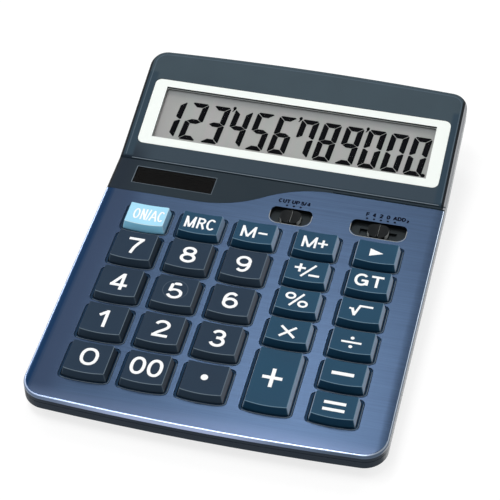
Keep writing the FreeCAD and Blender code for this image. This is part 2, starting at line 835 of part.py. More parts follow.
# %% Keys
def key_cap(name):
    """A hollow cap: sloping flanks above the plate, straight walls below it, a stop flange and a post."""
    x, front, length = KEYS[name]
    rear = front + length
    half = opening_width / 2 - cap_inset
    bows = (opening_bow_front, opening_bow_rear)
    low = bowed_edges(x, half, front + cap_inset, rear - cap_inset, *bows)
    high = bowed_edges(x, half - key_side_draft, front + cap_inset + key_front_draft,
                       rear - cap_inset - key_rear_draft, *bows, key_rise)
    cap = Part.makeLoft([Part.Wire(low), Part.Wire(high)], True, True)
    slanted = [e for e in cap.Edges if e.BoundBox.ZLength > key_rise / 2]
    cap = cap.makeFillet(key_corner_round, slanted)
    rim = [e for e in cap.Edges if e.BoundBox.ZMin > key_rise - 1e-3]
    cap = cap.makeFillet(key_edge_round, rim)

    bottom = -flange_bottom
    skirt = prism(low, bottom, flange_bottom)
    skirt = skirt.makeFillet(key_corner_round, upright_edges(skirt))
    flange_half = half + flange_reach
    flange = rounded_box(x - flange_half, x + flange_half, front + cap_inset - flange_reach / 2,
                         rear - cap_inset + flange_reach, bottom, -flange_top, key_corner_round)
    cap = joined([cap, skirt, flange])
    hollow = box(x - half + key_wall, x + half - key_wall, front + cap_inset + opening_bow_front + key_wall,
                 rear - cap_inset - key_wall, bottom - 1, key_rise - key_top)
    middle = front + length / 2
    cap = cap.cut(hollow.cut(rod(x, middle, bottom - 1, key_rise, post_diameter)))
    if name == "key_5":
        ball = (dish_radius ** 2 + dish_depth ** 2) / (2 * dish_depth)
        legend = (front + cap_inset + key_front_draft + rear - cap_inset - key_rear_draft) / 2
        cap = cap.cut(Part.makeSphere(ball, V(x, legend, key_rise - dish_depth + ball)))
    return place(cap, DECK)


def rubber_keypad():
    """One moulded sheet with a collapsing dome under each key's post."""
    sheet = box(-mat_half_width, mat_half_width, mat_front, mat_rear, -board_top, -mat_top)
    domes = []
    for x, front, length in KEYS.values():
        rise = mat_top - flange_bottom - dome_gap
        place_on_mat = V(x, front + length / 2, -mat_top)
        domes.append(Part.makeCone(dome_base / 2, dome_top / 2, rise, place_on_mat))
    sheet = joined([sheet] + domes)
    hole = board_post + 2 * mat_hole_clearance
    holes = [rod(x, y, -reach, 0, hole) for x, y in board_post_places if y < mat_rear]
    return place(sheet.cut(holes), DECK)


# %% Slide switches
def switch_knob(name):
    """A dished oval pad with a raised fin, a stem through the deck and a keeper below it."""
    x, y = SWITCHES[name][0], slot_front + slot_depth_along / 2
    half, half_along = knob_width / 2, knob_length / 2
    pad = rounded_box(x - half, x + half, y - half_along, y + half_along, -recess_floor + knob_gap, knob_top,
                      knob_round)
    axis_height = knob_top - knob_dish_depth + knob_dish_radius
    dish = Part.makeCylinder(knob_dish_radius, knob_length * 2, V(x, y - knob_length, axis_height), V(0, 1, 0))
    pad = pad.cut(dish)
    fin = rounded_box(x - fin_width / 2, x + fin_width / 2, y - fin_length / 2, y + fin_length / 2,
                      -recess_floor + knob_gap, fin_rise, fin_round)
    stem = box(x - stem_width / 2, x + stem_width / 2, y - stem_length / 2, y + stem_length / 2,
               -deck_bottom - knob_gap, -recess_floor + knob_gap)
    keeper = box(x - keeper_width / 2, x + keeper_width / 2, y - keeper_length / 2, y + keeper_length / 2,
                 -deck_bottom - knob_gap - keeper_thickness, -deck_bottom - knob_gap)
    return place(joined([pad, fin, stem, keeper]), DECK)


def switch_wiper(name):
    """The sprung contact under a switch's keeper, its two toes on the board's tracks."""
    x, y = SWITCHES[name][0], slot_front + slot_depth_along / 2
    top = -deck_bottom - knob_gap - keeper_thickness - wiper_thickness
    toe = -board_top + wiper_gap
    half = keeper_length / 2
    points = [(half * 0.9, toe + wiper_toe), (half * 0.75, toe), (half * 0.3, top), (-half * 0.3, top),
              (-half * 0.75, toe), (-half * 0.9, toe + wiper_toe)]
    clip = strip([(y + along, level) for along, level in points[::-1]], wiper_thickness, wiper_width / 2)
    clip.translate(V(x, 0, 0))
    return place(clip, DECK)


# %% Solar cell
def solar_window():
    top = -solar_window_drop
    pane = rounded_box(solar_left + fit_gap, solar_left + solar_width - fit_gap, solar_front + fit_gap,
                       solar_front + solar_length - fit_gap, top - solar_window_thickness, top, solar_round)
    return place(pane, DECK)


def solar_cell():
    inset = solar_ledge - solar_cell_overhang
    return place(box(solar_left + inset, solar_left + solar_width - inset, solar_front + inset,
                     solar_front + solar_length - inset, -solar_ledge_bottom - solar_cell_thickness,
                     -solar_ledge_bottom), DECK)


# %% Display
def display_lens():
    half = lens_width / 2
    pane = rounded_box(-half, half, lens_front, lens_front + lens_length, -lens_drop - lens_thickness, -lens_drop,
                       lens_round - fit_gap)
    return place(pane, HEAD)


def display_frame():
    """The white surround under the lens, open over the digits."""
    half = lens_width / 2
    top = -lens_drop - lens_thickness
    sheet = rounded_box(-half, half, lens_front, lens_front + lens_length, top - mask_thickness, top,
                        lens_round - fit_gap)
    view_half = view_width / 2
    view = rounded_box(-view_half, view_half, view_front, view_front + view_length, top - 1, top + 1, view_round)
    return place(sheet.cut(view), HEAD)


def display_panel():
    half = panel_width / 2
    return place(box(-half, half, panel_front, panel_front + panel_length, -panel_drop - panel_thickness,
                     -panel_drop), HEAD)


def display_holder():
    """The tray that presses the panel up against the housing, screwed at four ears."""
    half = panel_width / 2 + holder_gap
    front, rear = panel_front - holder_gap, panel_front + panel_length + holder_gap
    bottom = -panel_bottom
    outer = box(-half - holder_wall, half + holder_wall, front - holder_wall, rear + holder_wall,
                bottom - holder_floor, -head_thickness)
    ears = [rod(x, y, bottom - holder_floor, bottom, ear_diameter) for x, y in holder_screw_places()]
    tray = joined([outer] + ears)
    pocket = box(-half, half, front, rear, bottom, 0)
    slot_half = ribbon_width / 2 + holder_gap
    slot = box(-slot_half, slot_half, ribbon_slot_front, ribbon_slot_front + ribbon_slot_width,
               bottom - 2 * holder_floor, bottom)
    holes = [rod(x, y, -reach, bottom + 1, board_screw_shank + holder_gap) for x, y in holder_screw_places()]
    pegs = [rod(x, y, bottom, 0, holder_peg + 2 * holder_gap) for x, y in holder_screw_places()]
    return place(tray.cut([pocket, slot] + holes + pegs), HEAD)


def display_ribbon():
    """The flat foil that joins the panel's front edge to the board."""
    ends = []
    for back in (ribbon_glue_length, 2 * ribbon_glue_length):
        ends.append(HEAD.inverse().multVec(DECK.multVec(V(0, board_rear - back, -board_top))))
    under = -panel_bottom - holder_floor - ribbon_clearance
    glued = -panel_bottom - ribbon_thickness
    rear = ribbon_slot_front + ribbon_slot_width - holder_gap
    points = [
        (ends[1].y, ends[1].z),
        (ends[0].y, ends[0].z),
        (ribbon_slot_front + holder_gap, under),
        (ribbon_slot_front + 2 * holder_gap, glued),
        (rear, glued),
    ]
    return place(strip(points, ribbon_thickness, ribbon_width / 2), HEAD)


# %% Circuit board and its parts
def main_board():
    sheet = rounded_box(-board_half_width, board_half_width, board_front, board_rear, -board_bottom, -board_top,
                        board_corner)
    holes = [rod(x, y, -reach, 0, board_screw_shank + 2 * fit_gap) for x, y in board_post_places]
    return place(sheet.cut(holes), DECK)


def processor_seal():
    """The round resin drop over the processor, on the board's underside."""
    ball = ((seal_diameter / 2) ** 2 + seal_height ** 2) / (2 * seal_height)
    x, y = seal_place
    drop = Part.makeSphere(ball, V(x, y, -board_bottom + ball - seal_height))
    keep = rod(x, y, -board_bottom - seal_height * 2, -board_bottom, seal_diameter * 2)
    return place(drop.common(keep), DECK)


def board_parts():
    """Capacitors lying on the underside and small resistors beside them."""
    parts = []
    for x, y in capacitor_places:
        centre = V(x, y, -board_bottom - capacitor_diameter / 2)
        parts.append(Part.makeCylinder(capacitor_diameter / 2, capacitor_length, centre, V(0, 1, 0)))
    for y in resistor_rows:
        for index in range(3):
            x = column(2) - resistor_pitch * (index + 1)
            parts.append(box(x, x + resistor_length, y, y + resistor_width, -board_bottom - resistor_height,
                             -board_bottom))
    return place(group(parts), DECK)


# %% Battery and leads
def button_cell():
    low = floor_z + cell_room
    can = rod(cell_x, cell_y, low, low + cell_height, cell_diameter)
    cap = rod(cell_x, cell_y, low + cell_height, low + cell_height + cell_cap_height, cell_cap_diameter)
    return joined([can, cap])


def tab_end():
    """Where both contacts stop in front of the bay."""
    return cell_y - cell_diameter / 2 - bay_wall - tab_length


def side_contact():
    half = contact_width / 2
    x = side_contact_x()
    level = contact_level()
    return box(x, x + contact_thickness, tab_end(), cell_y + half, level - half, level + half)


def top_contact():
    """The leaf over the cell: flat along the bay's roof, then bent down onto the cell's cap."""
    top = bay_top() - contact_thickness - fit_gap
    touch = floor_z + cell_room + cell_height + cell_cap_height + fit_gap
    front = cell_y - cell_diameter / 2
    points = [(tab_end(), top), (front + 1.0, top), (cell_y - 1.0, touch), (cell_y + 1.5, touch)]
    leaf = strip(points, contact_thickness, contact_width / 2)
    leaf.translate(V(cell_x, 0, 0))
    return leaf


def lead(x, y0, z0, y1, z1, bend, diameter):
    """A lead along Y that turns up, or down, at its far end."""
    turn = 1 if z1 > z0 else -1
    along = 1 if y0 > y1 else -1
    first = V(x, y1 + along * bend, z0)
    last = V(x, y1, z0 + turn * bend)
    middle = V(x, y1 + along * bend * (1 - math.sqrt(0.5)), z0 + turn * bend * (1 - math.sqrt(0.5)))
    path = Part.Wire([
        Part.makeLine(V(x, y0, z0), first),
        Part.Arc(first, middle, last).toShape(),
        Part.makeLine(last, V(x, y1, z1)),
    ])
    section = Part.Wire([Part.makeCircle(diameter / 2, V(x, y0, z0), V(0, 1, 0))])
    return path.makePipeShell([section], True, False)


def battery_leads():
    """From both contacts' tabs to the underside of the board."""
    leads = []
    starts = [
        (side_contact_x() + contact_thickness / 2, contact_level()),
        (cell_x, bay_top() - contact_thickness),
    ]
    for index, (x, z0) in enumerate(starts):
        joint = DECK.multVec(V(x, board_rear - lead_spacing * (index + 1), -board_bottom))
        leads.append(lead(x, tab_end(), z0, joint.y, joint.z, lead_bend, lead_diameter))
    return group(leads)


def solar_leads():
    """From under the solar cell down to the top of the board."""
    leads = []
    cell_bottom = -solar_ledge_bottom - solar_cell_thickness
    for index in (1, 2):
        x = solar_left + lead_spacing * (index + 1)
        leads.append(rod(x, solar_front + solar_length / 2, -board_top, cell_bottom, lead_diameter))
    return place(group(leads), DECK)


# %% Screws
def screw(x, y, top_of_head, length, shank, head, head_height):
    """A slotted screw that points up, its head at the bottom."""
    body = rod(x, y, top_of_head - 0.01, top_of_head + length, shank)
    cap = rod(x, y, top_of_head - head_height, top_of_head, head)
    slot = box(x - head, x + head, y - driver_slot / 2, y + driver_slot / 2, top_of_head - head_height - 1,
               top_of_head - head_height / 2)
    return joined([cap, body]).cut(slot)


def case_screws():
    top_of_head = base_z + screw_recess + screw_head_height
    return group([
        screw(x, y, top_of_head, case_screw_length, screw_shank, screw_head, screw_head_height)
        for x, y in case_screw_places()
    ])


def board_screws():
    screws = [
        place(screw(x, y, -board_bottom, board_screw_length, board_screw_shank, board_screw_head,
                    board_screw_head_height), DECK)
        for x, y in board_post_places
    ]
    return group(screws)


def holder_screws():
    bottom = -panel_bottom - holder_floor
    screws = [
        place(screw(x, y, bottom, board_screw_length, board_screw_shank, board_screw_head,
                    board_screw_head_height), HEAD)
        for x, y in holder_screw_places()
    ]
    return group(screws)


# %% Write every piece
def pieces():
    made = {
        "faceplate": faceplate(),
        "top_housing": top_housing(),
        "bottom_shell": bottom_shell(),
        "battery_door": battery_door(),
        "rubber_feet": rubber_feet(),
        "rubber_keypad": rubber_keypad(),
        "main_board": main_board(),
        "processor_seal": processor_seal(),
        "board_parts": board_parts(),
        "solar_window": solar_window(),
        "solar_cell": solar_cell(),
        "solar_leads": solar_leads(),
        "display_lens": display_lens(),
        "display_frame": display_frame(),
        "display_panel": display_panel(),
        "display_holder": display_holder(),
        "display_ribbon": display_ribbon(),
        "button_cell": button_cell(),
        "side_contact": side_contact(),
        "top_contact": top_contact(),
        "battery_leads": battery_leads(),
        "case_screws": case_screws(),
        "board_screws": board_screws(),
        "holder_screws": holder_screws(),
    }
    for name in SWITCHES:
        made[name + "_knob"] = switch_knob(name)
        made[name + "_wiper"] = switch_wiper(name)
    for name in KEYS:
        made[name] = key_cap(name)
    return made


def write_pieces():
    os.makedirs("parts", exist_ok=True)
    for name, shape in pieces().items():
        solids = shape.Solids
        valid = all(solid.isValid() for solid in solids)
        print("%-24s %2d solids %10.1f mm3 valid %s" % (name, len(solids), shape.Volume, valid))
        keep = solids[0] if len(solids) == 1 else Part.makeCompound(solids)
        keep.exportStep(os.path.join("parts", name + ".step"))


write_pieces()
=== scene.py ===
# %% [markdown]
# A desktop calculator: a blue brushed metal faceplate in a dark plastic case, raised sprung keys, two slide
# switches, a solar cell and a sloping display. The hard parts come ready made from the CAD model, each on
# the body that it moves with. This file gives each part its finish and adds what is printed: the marks on
# the keys and on the faceplate, and the digits of the display. It also draws the light along the finest
# edges, and makes the rubber keypad again as a sheet with a separate dome under each key.
#
# The CAD parts are loaded first, because all that follows is placed from them.

# %% Load the parts
import json
import math

import bmesh
import bpy
from mathutils import Matrix, Vector


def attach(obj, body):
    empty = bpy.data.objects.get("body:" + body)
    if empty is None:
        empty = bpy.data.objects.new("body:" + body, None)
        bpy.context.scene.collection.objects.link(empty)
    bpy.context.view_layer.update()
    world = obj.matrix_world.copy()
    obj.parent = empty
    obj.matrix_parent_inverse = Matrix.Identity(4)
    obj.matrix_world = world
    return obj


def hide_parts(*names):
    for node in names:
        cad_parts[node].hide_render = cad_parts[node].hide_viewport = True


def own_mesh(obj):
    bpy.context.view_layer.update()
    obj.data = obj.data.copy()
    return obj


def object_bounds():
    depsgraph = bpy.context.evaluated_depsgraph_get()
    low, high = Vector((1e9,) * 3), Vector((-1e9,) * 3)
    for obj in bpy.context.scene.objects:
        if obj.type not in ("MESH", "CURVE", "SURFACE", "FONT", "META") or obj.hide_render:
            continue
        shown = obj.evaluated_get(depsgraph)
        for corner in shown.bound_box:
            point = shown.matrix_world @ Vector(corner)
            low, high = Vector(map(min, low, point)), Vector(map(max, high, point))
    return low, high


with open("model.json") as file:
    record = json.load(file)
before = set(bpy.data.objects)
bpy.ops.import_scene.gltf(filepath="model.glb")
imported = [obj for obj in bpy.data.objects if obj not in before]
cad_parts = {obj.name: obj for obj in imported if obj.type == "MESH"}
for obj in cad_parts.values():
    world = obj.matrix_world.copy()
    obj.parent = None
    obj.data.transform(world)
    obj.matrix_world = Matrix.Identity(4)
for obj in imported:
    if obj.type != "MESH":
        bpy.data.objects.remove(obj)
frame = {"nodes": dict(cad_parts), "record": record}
CAD_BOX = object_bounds()
MM = 0.001
print("parts:", len(frame["nodes"]), "size in mm:", [round(v / MM, 1) for v in CAD_BOX[1] - CAD_BOX[0]])

# %% [markdown]
# Everything printed lies on one of two sloping planes: the deck, which carries the faceplate, and the head,
# which carries the display. A matrix for each turns a plain drawing in millimetres into the real place. The
# other way would be to turn each object by hand, but then a pattern in the finish would turn with it.

# %% The two sloping planes
DECK_SLOPE = 2.5
HEAD_SLOPE = 15.2
FRONT_HEIGHT = 12.5
DECK_LENGTH = 128.72
LEGEND_ROW = 20.7
KEY_RISE = 3.2
PANEL_TOP = -2.7
VIEW_TOP = 37.5
VIEW_LEFT = -56.85

scale = Matrix.Scale(MM, 4)
front_y = CAD_BOX[0].y / MM
deck_turn = Matrix.Rotation(math.radians(DECK_SLOPE), 4, "X")
deck = scale @ Matrix.Translation((0, front_y, FRONT_HEIGHT)) @ deck_turn
crease = scale.inverted() @ deck @ Vector((0, DECK_LENGTH, 0))
head = scale @ Matrix.Translation(crease) @ Matrix.Rotation(math.radians(HEAD_SLOPE), 4, "X")
plate = deck @ Matrix.Translation((0, LEGEND_ROW, 0))
print("crease in mm:", [round(v, 2) for v in crease])

# %% [markdown]
# The photograph was taken from the front right, from above the height of the keys, with a long lens. The
# camera's place was worked out from the grid of keys, so it is written here as plain numbers.

# %% Camera
CAMERA_PLACE = (118.50, -469.92, 478.48)
CAMERA_TURN = (46.2150, 0.5256, 14.0288)
CAMERA_LENS = 124.64
SENSOR_WIDTH = 36.0
NEAREST, FURTHEST = 0.01, 20.0

camera_data = bpy.data.cameras.new("camera")
camera_data.lens = CAMERA_LENS
camera_data.sensor_width = SENSOR_WIDTH
camera_data.clip_start = NEAREST
camera_data.clip_end = FURTHEST
camera = bpy.data.objects.new("camera", camera_data)
camera.location = [v * MM for v in CAMERA_PLACE]
camera.rotation_euler = [math.radians(v) for v in CAMERA_TURN]
bpy.context.scene.collection.objects.link(camera)
bpy.context.scene.camera = camera
bpy.context.scene.view_settings.view_transform = "Standard"
print("camera lens in mm:", camera_data.lens)

# %% [markdown]
# The object stands on a pale table in soft light. The world is white where it is seen or mirrored, and
# dimmer where it only lights things, so the lamps keep some shape in the light.

# %% World
WORLD_FILL = 0.62


def maths(tree, kind, first, second=None):
    """One step of arithmetic on sockets or numbers."""
    node = tree.nodes.new("ShaderNodeMath")
    node.operation = kind
    for socket, value in zip(node.inputs, (first, second)):
        if isinstance(value, (int, float)):
            socket.default_value = value
        elif value is not None:
            tree.links.new(value, socket)
    return node.outputs[0]


def white_where_seen(tree):
    """A value of 1 for what the eye, a mirror or a pane looks at, and 0 for plain light."""
    ray = tree.nodes.new("ShaderNodeLightPath").outputs
    looked_at = maths(tree, "MAXIMUM", ray["Is Camera Ray"], ray["Is Glossy Ray"])
    return maths(tree, "MAXIMUM", looked_at, ray["Is Transmission Ray"])


world = bpy.data.worlds.new("studio")
bpy.context.scene.world = world
world.use_nodes = True
tree = world.node_tree
tree.nodes.clear()
seen = white_where_seen(tree)
fill = tree.nodes.new("ShaderNodeBackground")
fill.inputs["Strength"].default_value = WORLD_FILL
shown = tree.nodes.new("ShaderNodeBackground")
shown.inputs["Color"].default_value = (1, 1, 1, 1)
mix = tree.nodes.new("ShaderNodeMixShader")
out = tree.nodes.new("ShaderNodeOutputWorld")
tree.links.new(seen, mix.inputs[0])
tree.links.new(fill.outputs[0], mix.inputs[1])
tree.links.new(shown.outputs[0], mix.inputs[2])
tree.links.new(mix.outputs[0], out.inputs[0])
print("world nodes:", len(tree.nodes))

# %% [markdown]
# Four large soft lamps light the object: a strip overhead and three panels behind. Small lamps would be
# simpler, but they give hard shadows between the keys, which the photograph doesn't show. Each lamp has its
# place, the point that it is aimed at, its width and length in millimetres, and its power in watts.

# %% Lamps
LAMPS = {
    "overhead_strip": ((-150, -170, 900), (0, -60, 0), (600, 240), 3.8),
    "back_softbox": ((-135, 590, 1000), (0, -40, 0), (160, 260), 1.42),
    "right_back_strip": ((560, 720, 500), (40, 0, 0), (300, 200), 1.5),
    "left_back_strip": ((-730, 620, 430), (-40, 0, 0), (260, 200), 1.3),
}

for name, (place, aim, size, power) in LAMPS.items():
    lamp = bpy.data.lights.new(name, "AREA")
    lamp.shape = "RECTANGLE"
    lamp.size, lamp.size_y = size[0] * MM, size[1] * MM
    lamp.energy = power
    holder = bpy.data.objects.new(name, lamp)
    holder.location = [v * MM for v in place]
    way = Vector(aim) - Vector(place)
    holder.rotation_euler = way.to_track_quat("-Z", "Y").to_euler()
    bpy.context.scene.collection.objects.link(holder)
print("lamps:", len(LAMPS))

# %% [markdown]
# A few effects come back in several finishes. The first two are the fine grain of moulded plastic and the
# long scratches of brushed metal. Pictures could be painted for them, but noise in real coordinates keeps
# its scale on every part. Each is a node group with its own inputs, built once, so that one change reaches
# every finish.


# %% Grain and scratches
SCRATCH_STRETCH, SCRATCH_DETAIL = 0.02, 4.0


def group_with(name, inputs, outputs):
    """An empty node group with named number inputs and outputs."""
    group = bpy.data.node_groups.new(name, "ShaderNodeTree")
    for title, value in inputs.items():
        socket = group.interface.new_socket(title, in_out="INPUT", socket_type="NodeSocketFloat")
        socket.default_value = value
    for title in outputs:
        group.interface.new_socket(title, in_out="OUTPUT", socket_type="NodeSocketFloat")
    return group, group.nodes.new("NodeGroupInput"), group.nodes.new("NodeGroupOutput")


def noise_in(group, vector, size, detail=2.0):
    """A noise that reads a vector and takes its scale from a socket."""
    noise = group.nodes.new("ShaderNodeTexNoise")
    noise.inputs["Detail"].default_value = detail
    group.links.new(vector, noise.inputs["Vector"])
    group.links.new(size, noise.inputs["Scale"])
    return noise.outputs["Fac"]


def grain_group():
    """Fine even grain and slow cloudiness, as on moulded plastic."""
    scales = {"Fine": 6000.0, "Cloud": 60.0}
    group, start, end = group_with("moulded_grain", scales, ["Height", "Cloudiness"])
    place = group.nodes.new("ShaderNodeTexCoord").outputs["Object"]
    group.links.new(noise_in(group, place, start.outputs["Fine"]), end.inputs["Height"])
    group.links.new(noise_in(group, place, start.outputs["Cloud"]), end.inputs["Cloudiness"])
    return group


def brushed_group():
    """Long scratches that run along X."""
    scales = {"Fine": 9000.0, "Broad": 5200.0}
    group, start, end = group_with("brushed_lines", scales, ["Height", "Streak"])
    stretch = group.nodes.new("ShaderNodeMapping")
    stretch.inputs["Scale"].default_value = (SCRATCH_STRETCH, 1.0, 1.0)
    group.links.new(group.nodes.new("ShaderNodeTexCoord").outputs["Object"], stretch.inputs["Vector"])
    place = stretch.outputs["Vector"]
    group.links.new(noise_in(group, place, start.outputs["Fine"], SCRATCH_DETAIL), end.inputs["Height"])
    group.links.new(noise_in(group, place, start.outputs["Broad"], SCRATCH_DETAIL), end.inputs["Streak"])
    return group


GRAIN = grain_group()
BRUSHED = brushed_group()
print("effects:", GRAIN.name, BRUSHED.name)

# %% [markdown]
# Light falls differently on the top of a key, on its flanks and on its right and front edges. Lamps alone
# don't give the photograph's colours there, and painting each face by hand would take long. So two groups
# work out masks from the way a face looks, which a finish then turns into painted light and shade.


# %% Masks by the way a face looks
DECK_UP = (0.0, -math.sin(math.radians(DECK_SLOPE)), math.cos(math.radians(DECK_SLOPE)))
EDGE_FOOT, EDGE_HEAD = 0.12, 0.04
TOWARD_LIGHT = (0.05, 0.25)


def ramp(tree, value, start, stop):
    """0 below start and 1 above stop, smooth between; start over stop turns it round."""
    node = tree.nodes.new("ShaderNodeMapRange")
    node.interpolation_type = "SMOOTHSTEP"
    tree.links.new(value, node.inputs["Value"])
    for title, end in (("From Min", start), ("From Max", stop)):
        if isinstance(end, (int, float)):
            node.inputs[title].default_value = end
        else:
            tree.links.new(end, node.inputs[title])
    return node.outputs["Result"]


def overlap(tree, first, second):
    """A mask of the places where both masks hold."""
    return maths(tree, "MULTIPLY", first, second)


def tilt_group():
    """How level with the deck a face lies, and how much it looks right, to either side and forward."""
    group, start, end = group_with("face_tilt", {}, ["Level", "Rightward", "Sideways", "Forward"])
    normal = group.nodes.new("ShaderNodeTexCoord").outputs["Normal"]
    dot = group.nodes.new("ShaderNodeVectorMath")
    dot.operation = "DOT_PRODUCT"
    dot.inputs[1].default_value = DECK_UP
    split = group.nodes.new("ShaderNodeSeparateXYZ")
    group.links.new(normal, dot.inputs[0])
    group.links.new(normal, split.inputs[0])
    group.links.new(dot.outputs["Value"], end.inputs["Level"])
    group.links.new(split.outputs["X"], end.inputs["Rightward"])
    group.links.new(maths(group, "ABSOLUTE", split.outputs["X"]), end.inputs["Sideways"])
    group.links.new(maths(group, "MULTIPLY", split.outputs["Y"], -1.0), end.inputs["Forward"])
    return group


def worn_edge_group():
    """A mask of the rounded right and front edges under a level face, where a painted highlight goes."""
    group, start, end = group_with("worn_edge", {"Lowest": 0.35, "Highest": 0.95}, ["Mask"])
    tilt = group.nodes.new("ShaderNodeGroup")
    tilt.node_tree = TILT
    foot = maths(group, "SUBTRACT", start.outputs["Lowest"], EDGE_FOOT)
    crown = maths(group, "ADD", start.outputs["Highest"], EDGE_HEAD)
    rounded = overlap(group, ramp(group, tilt.outputs["Level"], foot, start.outputs["Lowest"]),
                      ramp(group, tilt.outputs["Level"], crown, start.outputs["Highest"]))
    # The painted highlight keeps to edges that look right or forward, towards the lamps.
    toward = maths(group, "MAXIMUM", tilt.outputs["Rightward"], tilt.outputs["Forward"])
    group.links.new(overlap(group, rounded, ramp(group, toward, *TOWARD_LIGHT)), end.inputs["Mask"])
    return group


TILT = tilt_group()
EDGE_HIGHLIGHT = worn_edge_group()
print("masks:", TILT.name, EDGE_HIGHLIGHT.name)

# %% [markdown]
# Some areas of one moulding have a finish of their own, such as the panel round the solar cell, and others
# carry painted light and shade. The moulding could be cut into pieces for them, but it is one CAD part, so a
# mask picks out a block of it by its coordinates.


# %% A mask of one area
def place_axes(tree):
    """The three coordinates of a point of the object, in metres."""
    split = tree.nodes.new("ShaderNodeSeparateXYZ")
    tree.links.new(tree.nodes.new("ShaderNodeTexCoord").outputs["Object"], split.inputs[0])
    return split.outputs


def inside_group():
    """A mask of the points in a block round a centre, in metres."""
    sides = {"Middle X": 0.0, "Middle Y": 0.0, "Half X": 0.01, "Half Y": 0.01, "Soft": 0.0001}
    group, start, end = group_with("inside_block", sides, ["Mask"])
    place = place_axes(group)
    masks = []
    for axis in "XY":
        away = maths(group, "SUBTRACT", place[axis], start.outputs["Middle " + axis])
        outside = maths(group, "ADD", start.outputs["Half " + axis], start.outputs["Soft"])
        masks.append(ramp(group, maths(group, "ABSOLUTE", away), outside, start.outputs["Half " + axis]))
    group.links.new(overlap(group, *masks), end.inputs["Mask"])
    return group


INSIDE = inside_group()
print("mask:", INSIDE.name)

# %% [markdown]
# A finish starts as one Principled shader, and small helpers feed it. Colours are written as they look on a
# screen and turned into the linear values that the shader works with. Picking linear values by hand would
# work too, but they can't be compared with a photograph.


# %% Helpers for finishes
NOISE_LOW, NOISE_HIGH = 0.3, 0.7


def linear(colour):
    """Screen colour, 0 to 255, as linear light with alpha."""
    shares = [c / 255 for c in colour]
    return [s / 12.92 if s <= 0.04045 else ((s + 0.055) / 1.055) ** 2.4 for s in shares] + [1.0]


def material(name):
    """A new node material with its Principled shader."""
    made = bpy.data.materials.new(name)
    made.use_nodes = True
    return made, made.node_tree, made.node_tree.nodes["Principled BSDF"]


def effect(tree, group, **values):
    """Puts a shared effect into a material with its own values."""
    node = tree.nodes.new("ShaderNodeGroup")
    node.node_tree = group
    for title, value in values.items():
        node.inputs[title.replace("_", " ")].default_value = value
    return node


def spread(tree, value, low, high):
    """Stretches a noise value to the range from low to high."""
    node = tree.nodes.new("ShaderNodeMapRange")
    node.inputs["From Min"].default_value = NOISE_LOW
    node.inputs["From Max"].default_value = NOISE_HIGH
    node.inputs["To Min"].default_value = low
    node.inputs["To Max"].default_value = high
    tree.links.new(value, node.inputs["Value"])
    return node.outputs["Result"]


def tint(tree, value, first, second):
    """Mixes two colours, each a screen colour or a socket, by a value."""
    node = tree.nodes.new("ShaderNodeMix")
    node.data_type = "RGBA"
    for socket, colour in ((node.inputs["A"], first), (node.inputs["B"], second)):
        if isinstance(colour, tuple):
            socket.default_value = linear(colour)
        else:
            tree.links.new(colour, socket)
    tree.links.new(value, node.inputs["Factor"])
    return node.outputs["Result"]


def relief(tree, shader, height, depth):
    """Turns a height into a bump on the shader."""
    bump = tree.nodes.new("ShaderNodeBump")
    bump.inputs["Distance"].default_value = depth
    bump.inputs["Strength"].default_value = 1.0
    tree.links.new(height, bump.inputs["Height"])
    tree.links.new(bump.outputs["Normal"], shader.inputs["Normal"])


print("middle grey as linear light:", round(linear((128, 128, 128))[0], 3))

# %% [markdown]
# The case, the keys and most small parts are moulded plastic. They differ in colour, gloss and grain, so
# one function makes them all from those few values, and the tints of flanks and edges, which are painted
# light and shade, are options of it. A material made by hand for each would hide how alike they are.


# %% Moulded plastic
# Each kind of face is a range of how level it lies, from 1, with the deck, to -1, upside down.
FACE_KINDS = {"top": (0.3, 0.6), "edge": (0.02, 0.1), "all": (-1.1, -1.05)}
TURNED_AWAY = (0.55, 0.8)
SHADOW_SIDE = (-0.045, 0.020)
RIM_SHADE_STARTS, RIM_SHADE_ENDS, SIDE_WALL = (0.2, 0.35), (0.85, 0.7), (0.8, 0.95)
RIB_SCALE, RIB_SHINE, RIB_ROUGHNESS = 900.0, (0.55, 1.0), 0.2


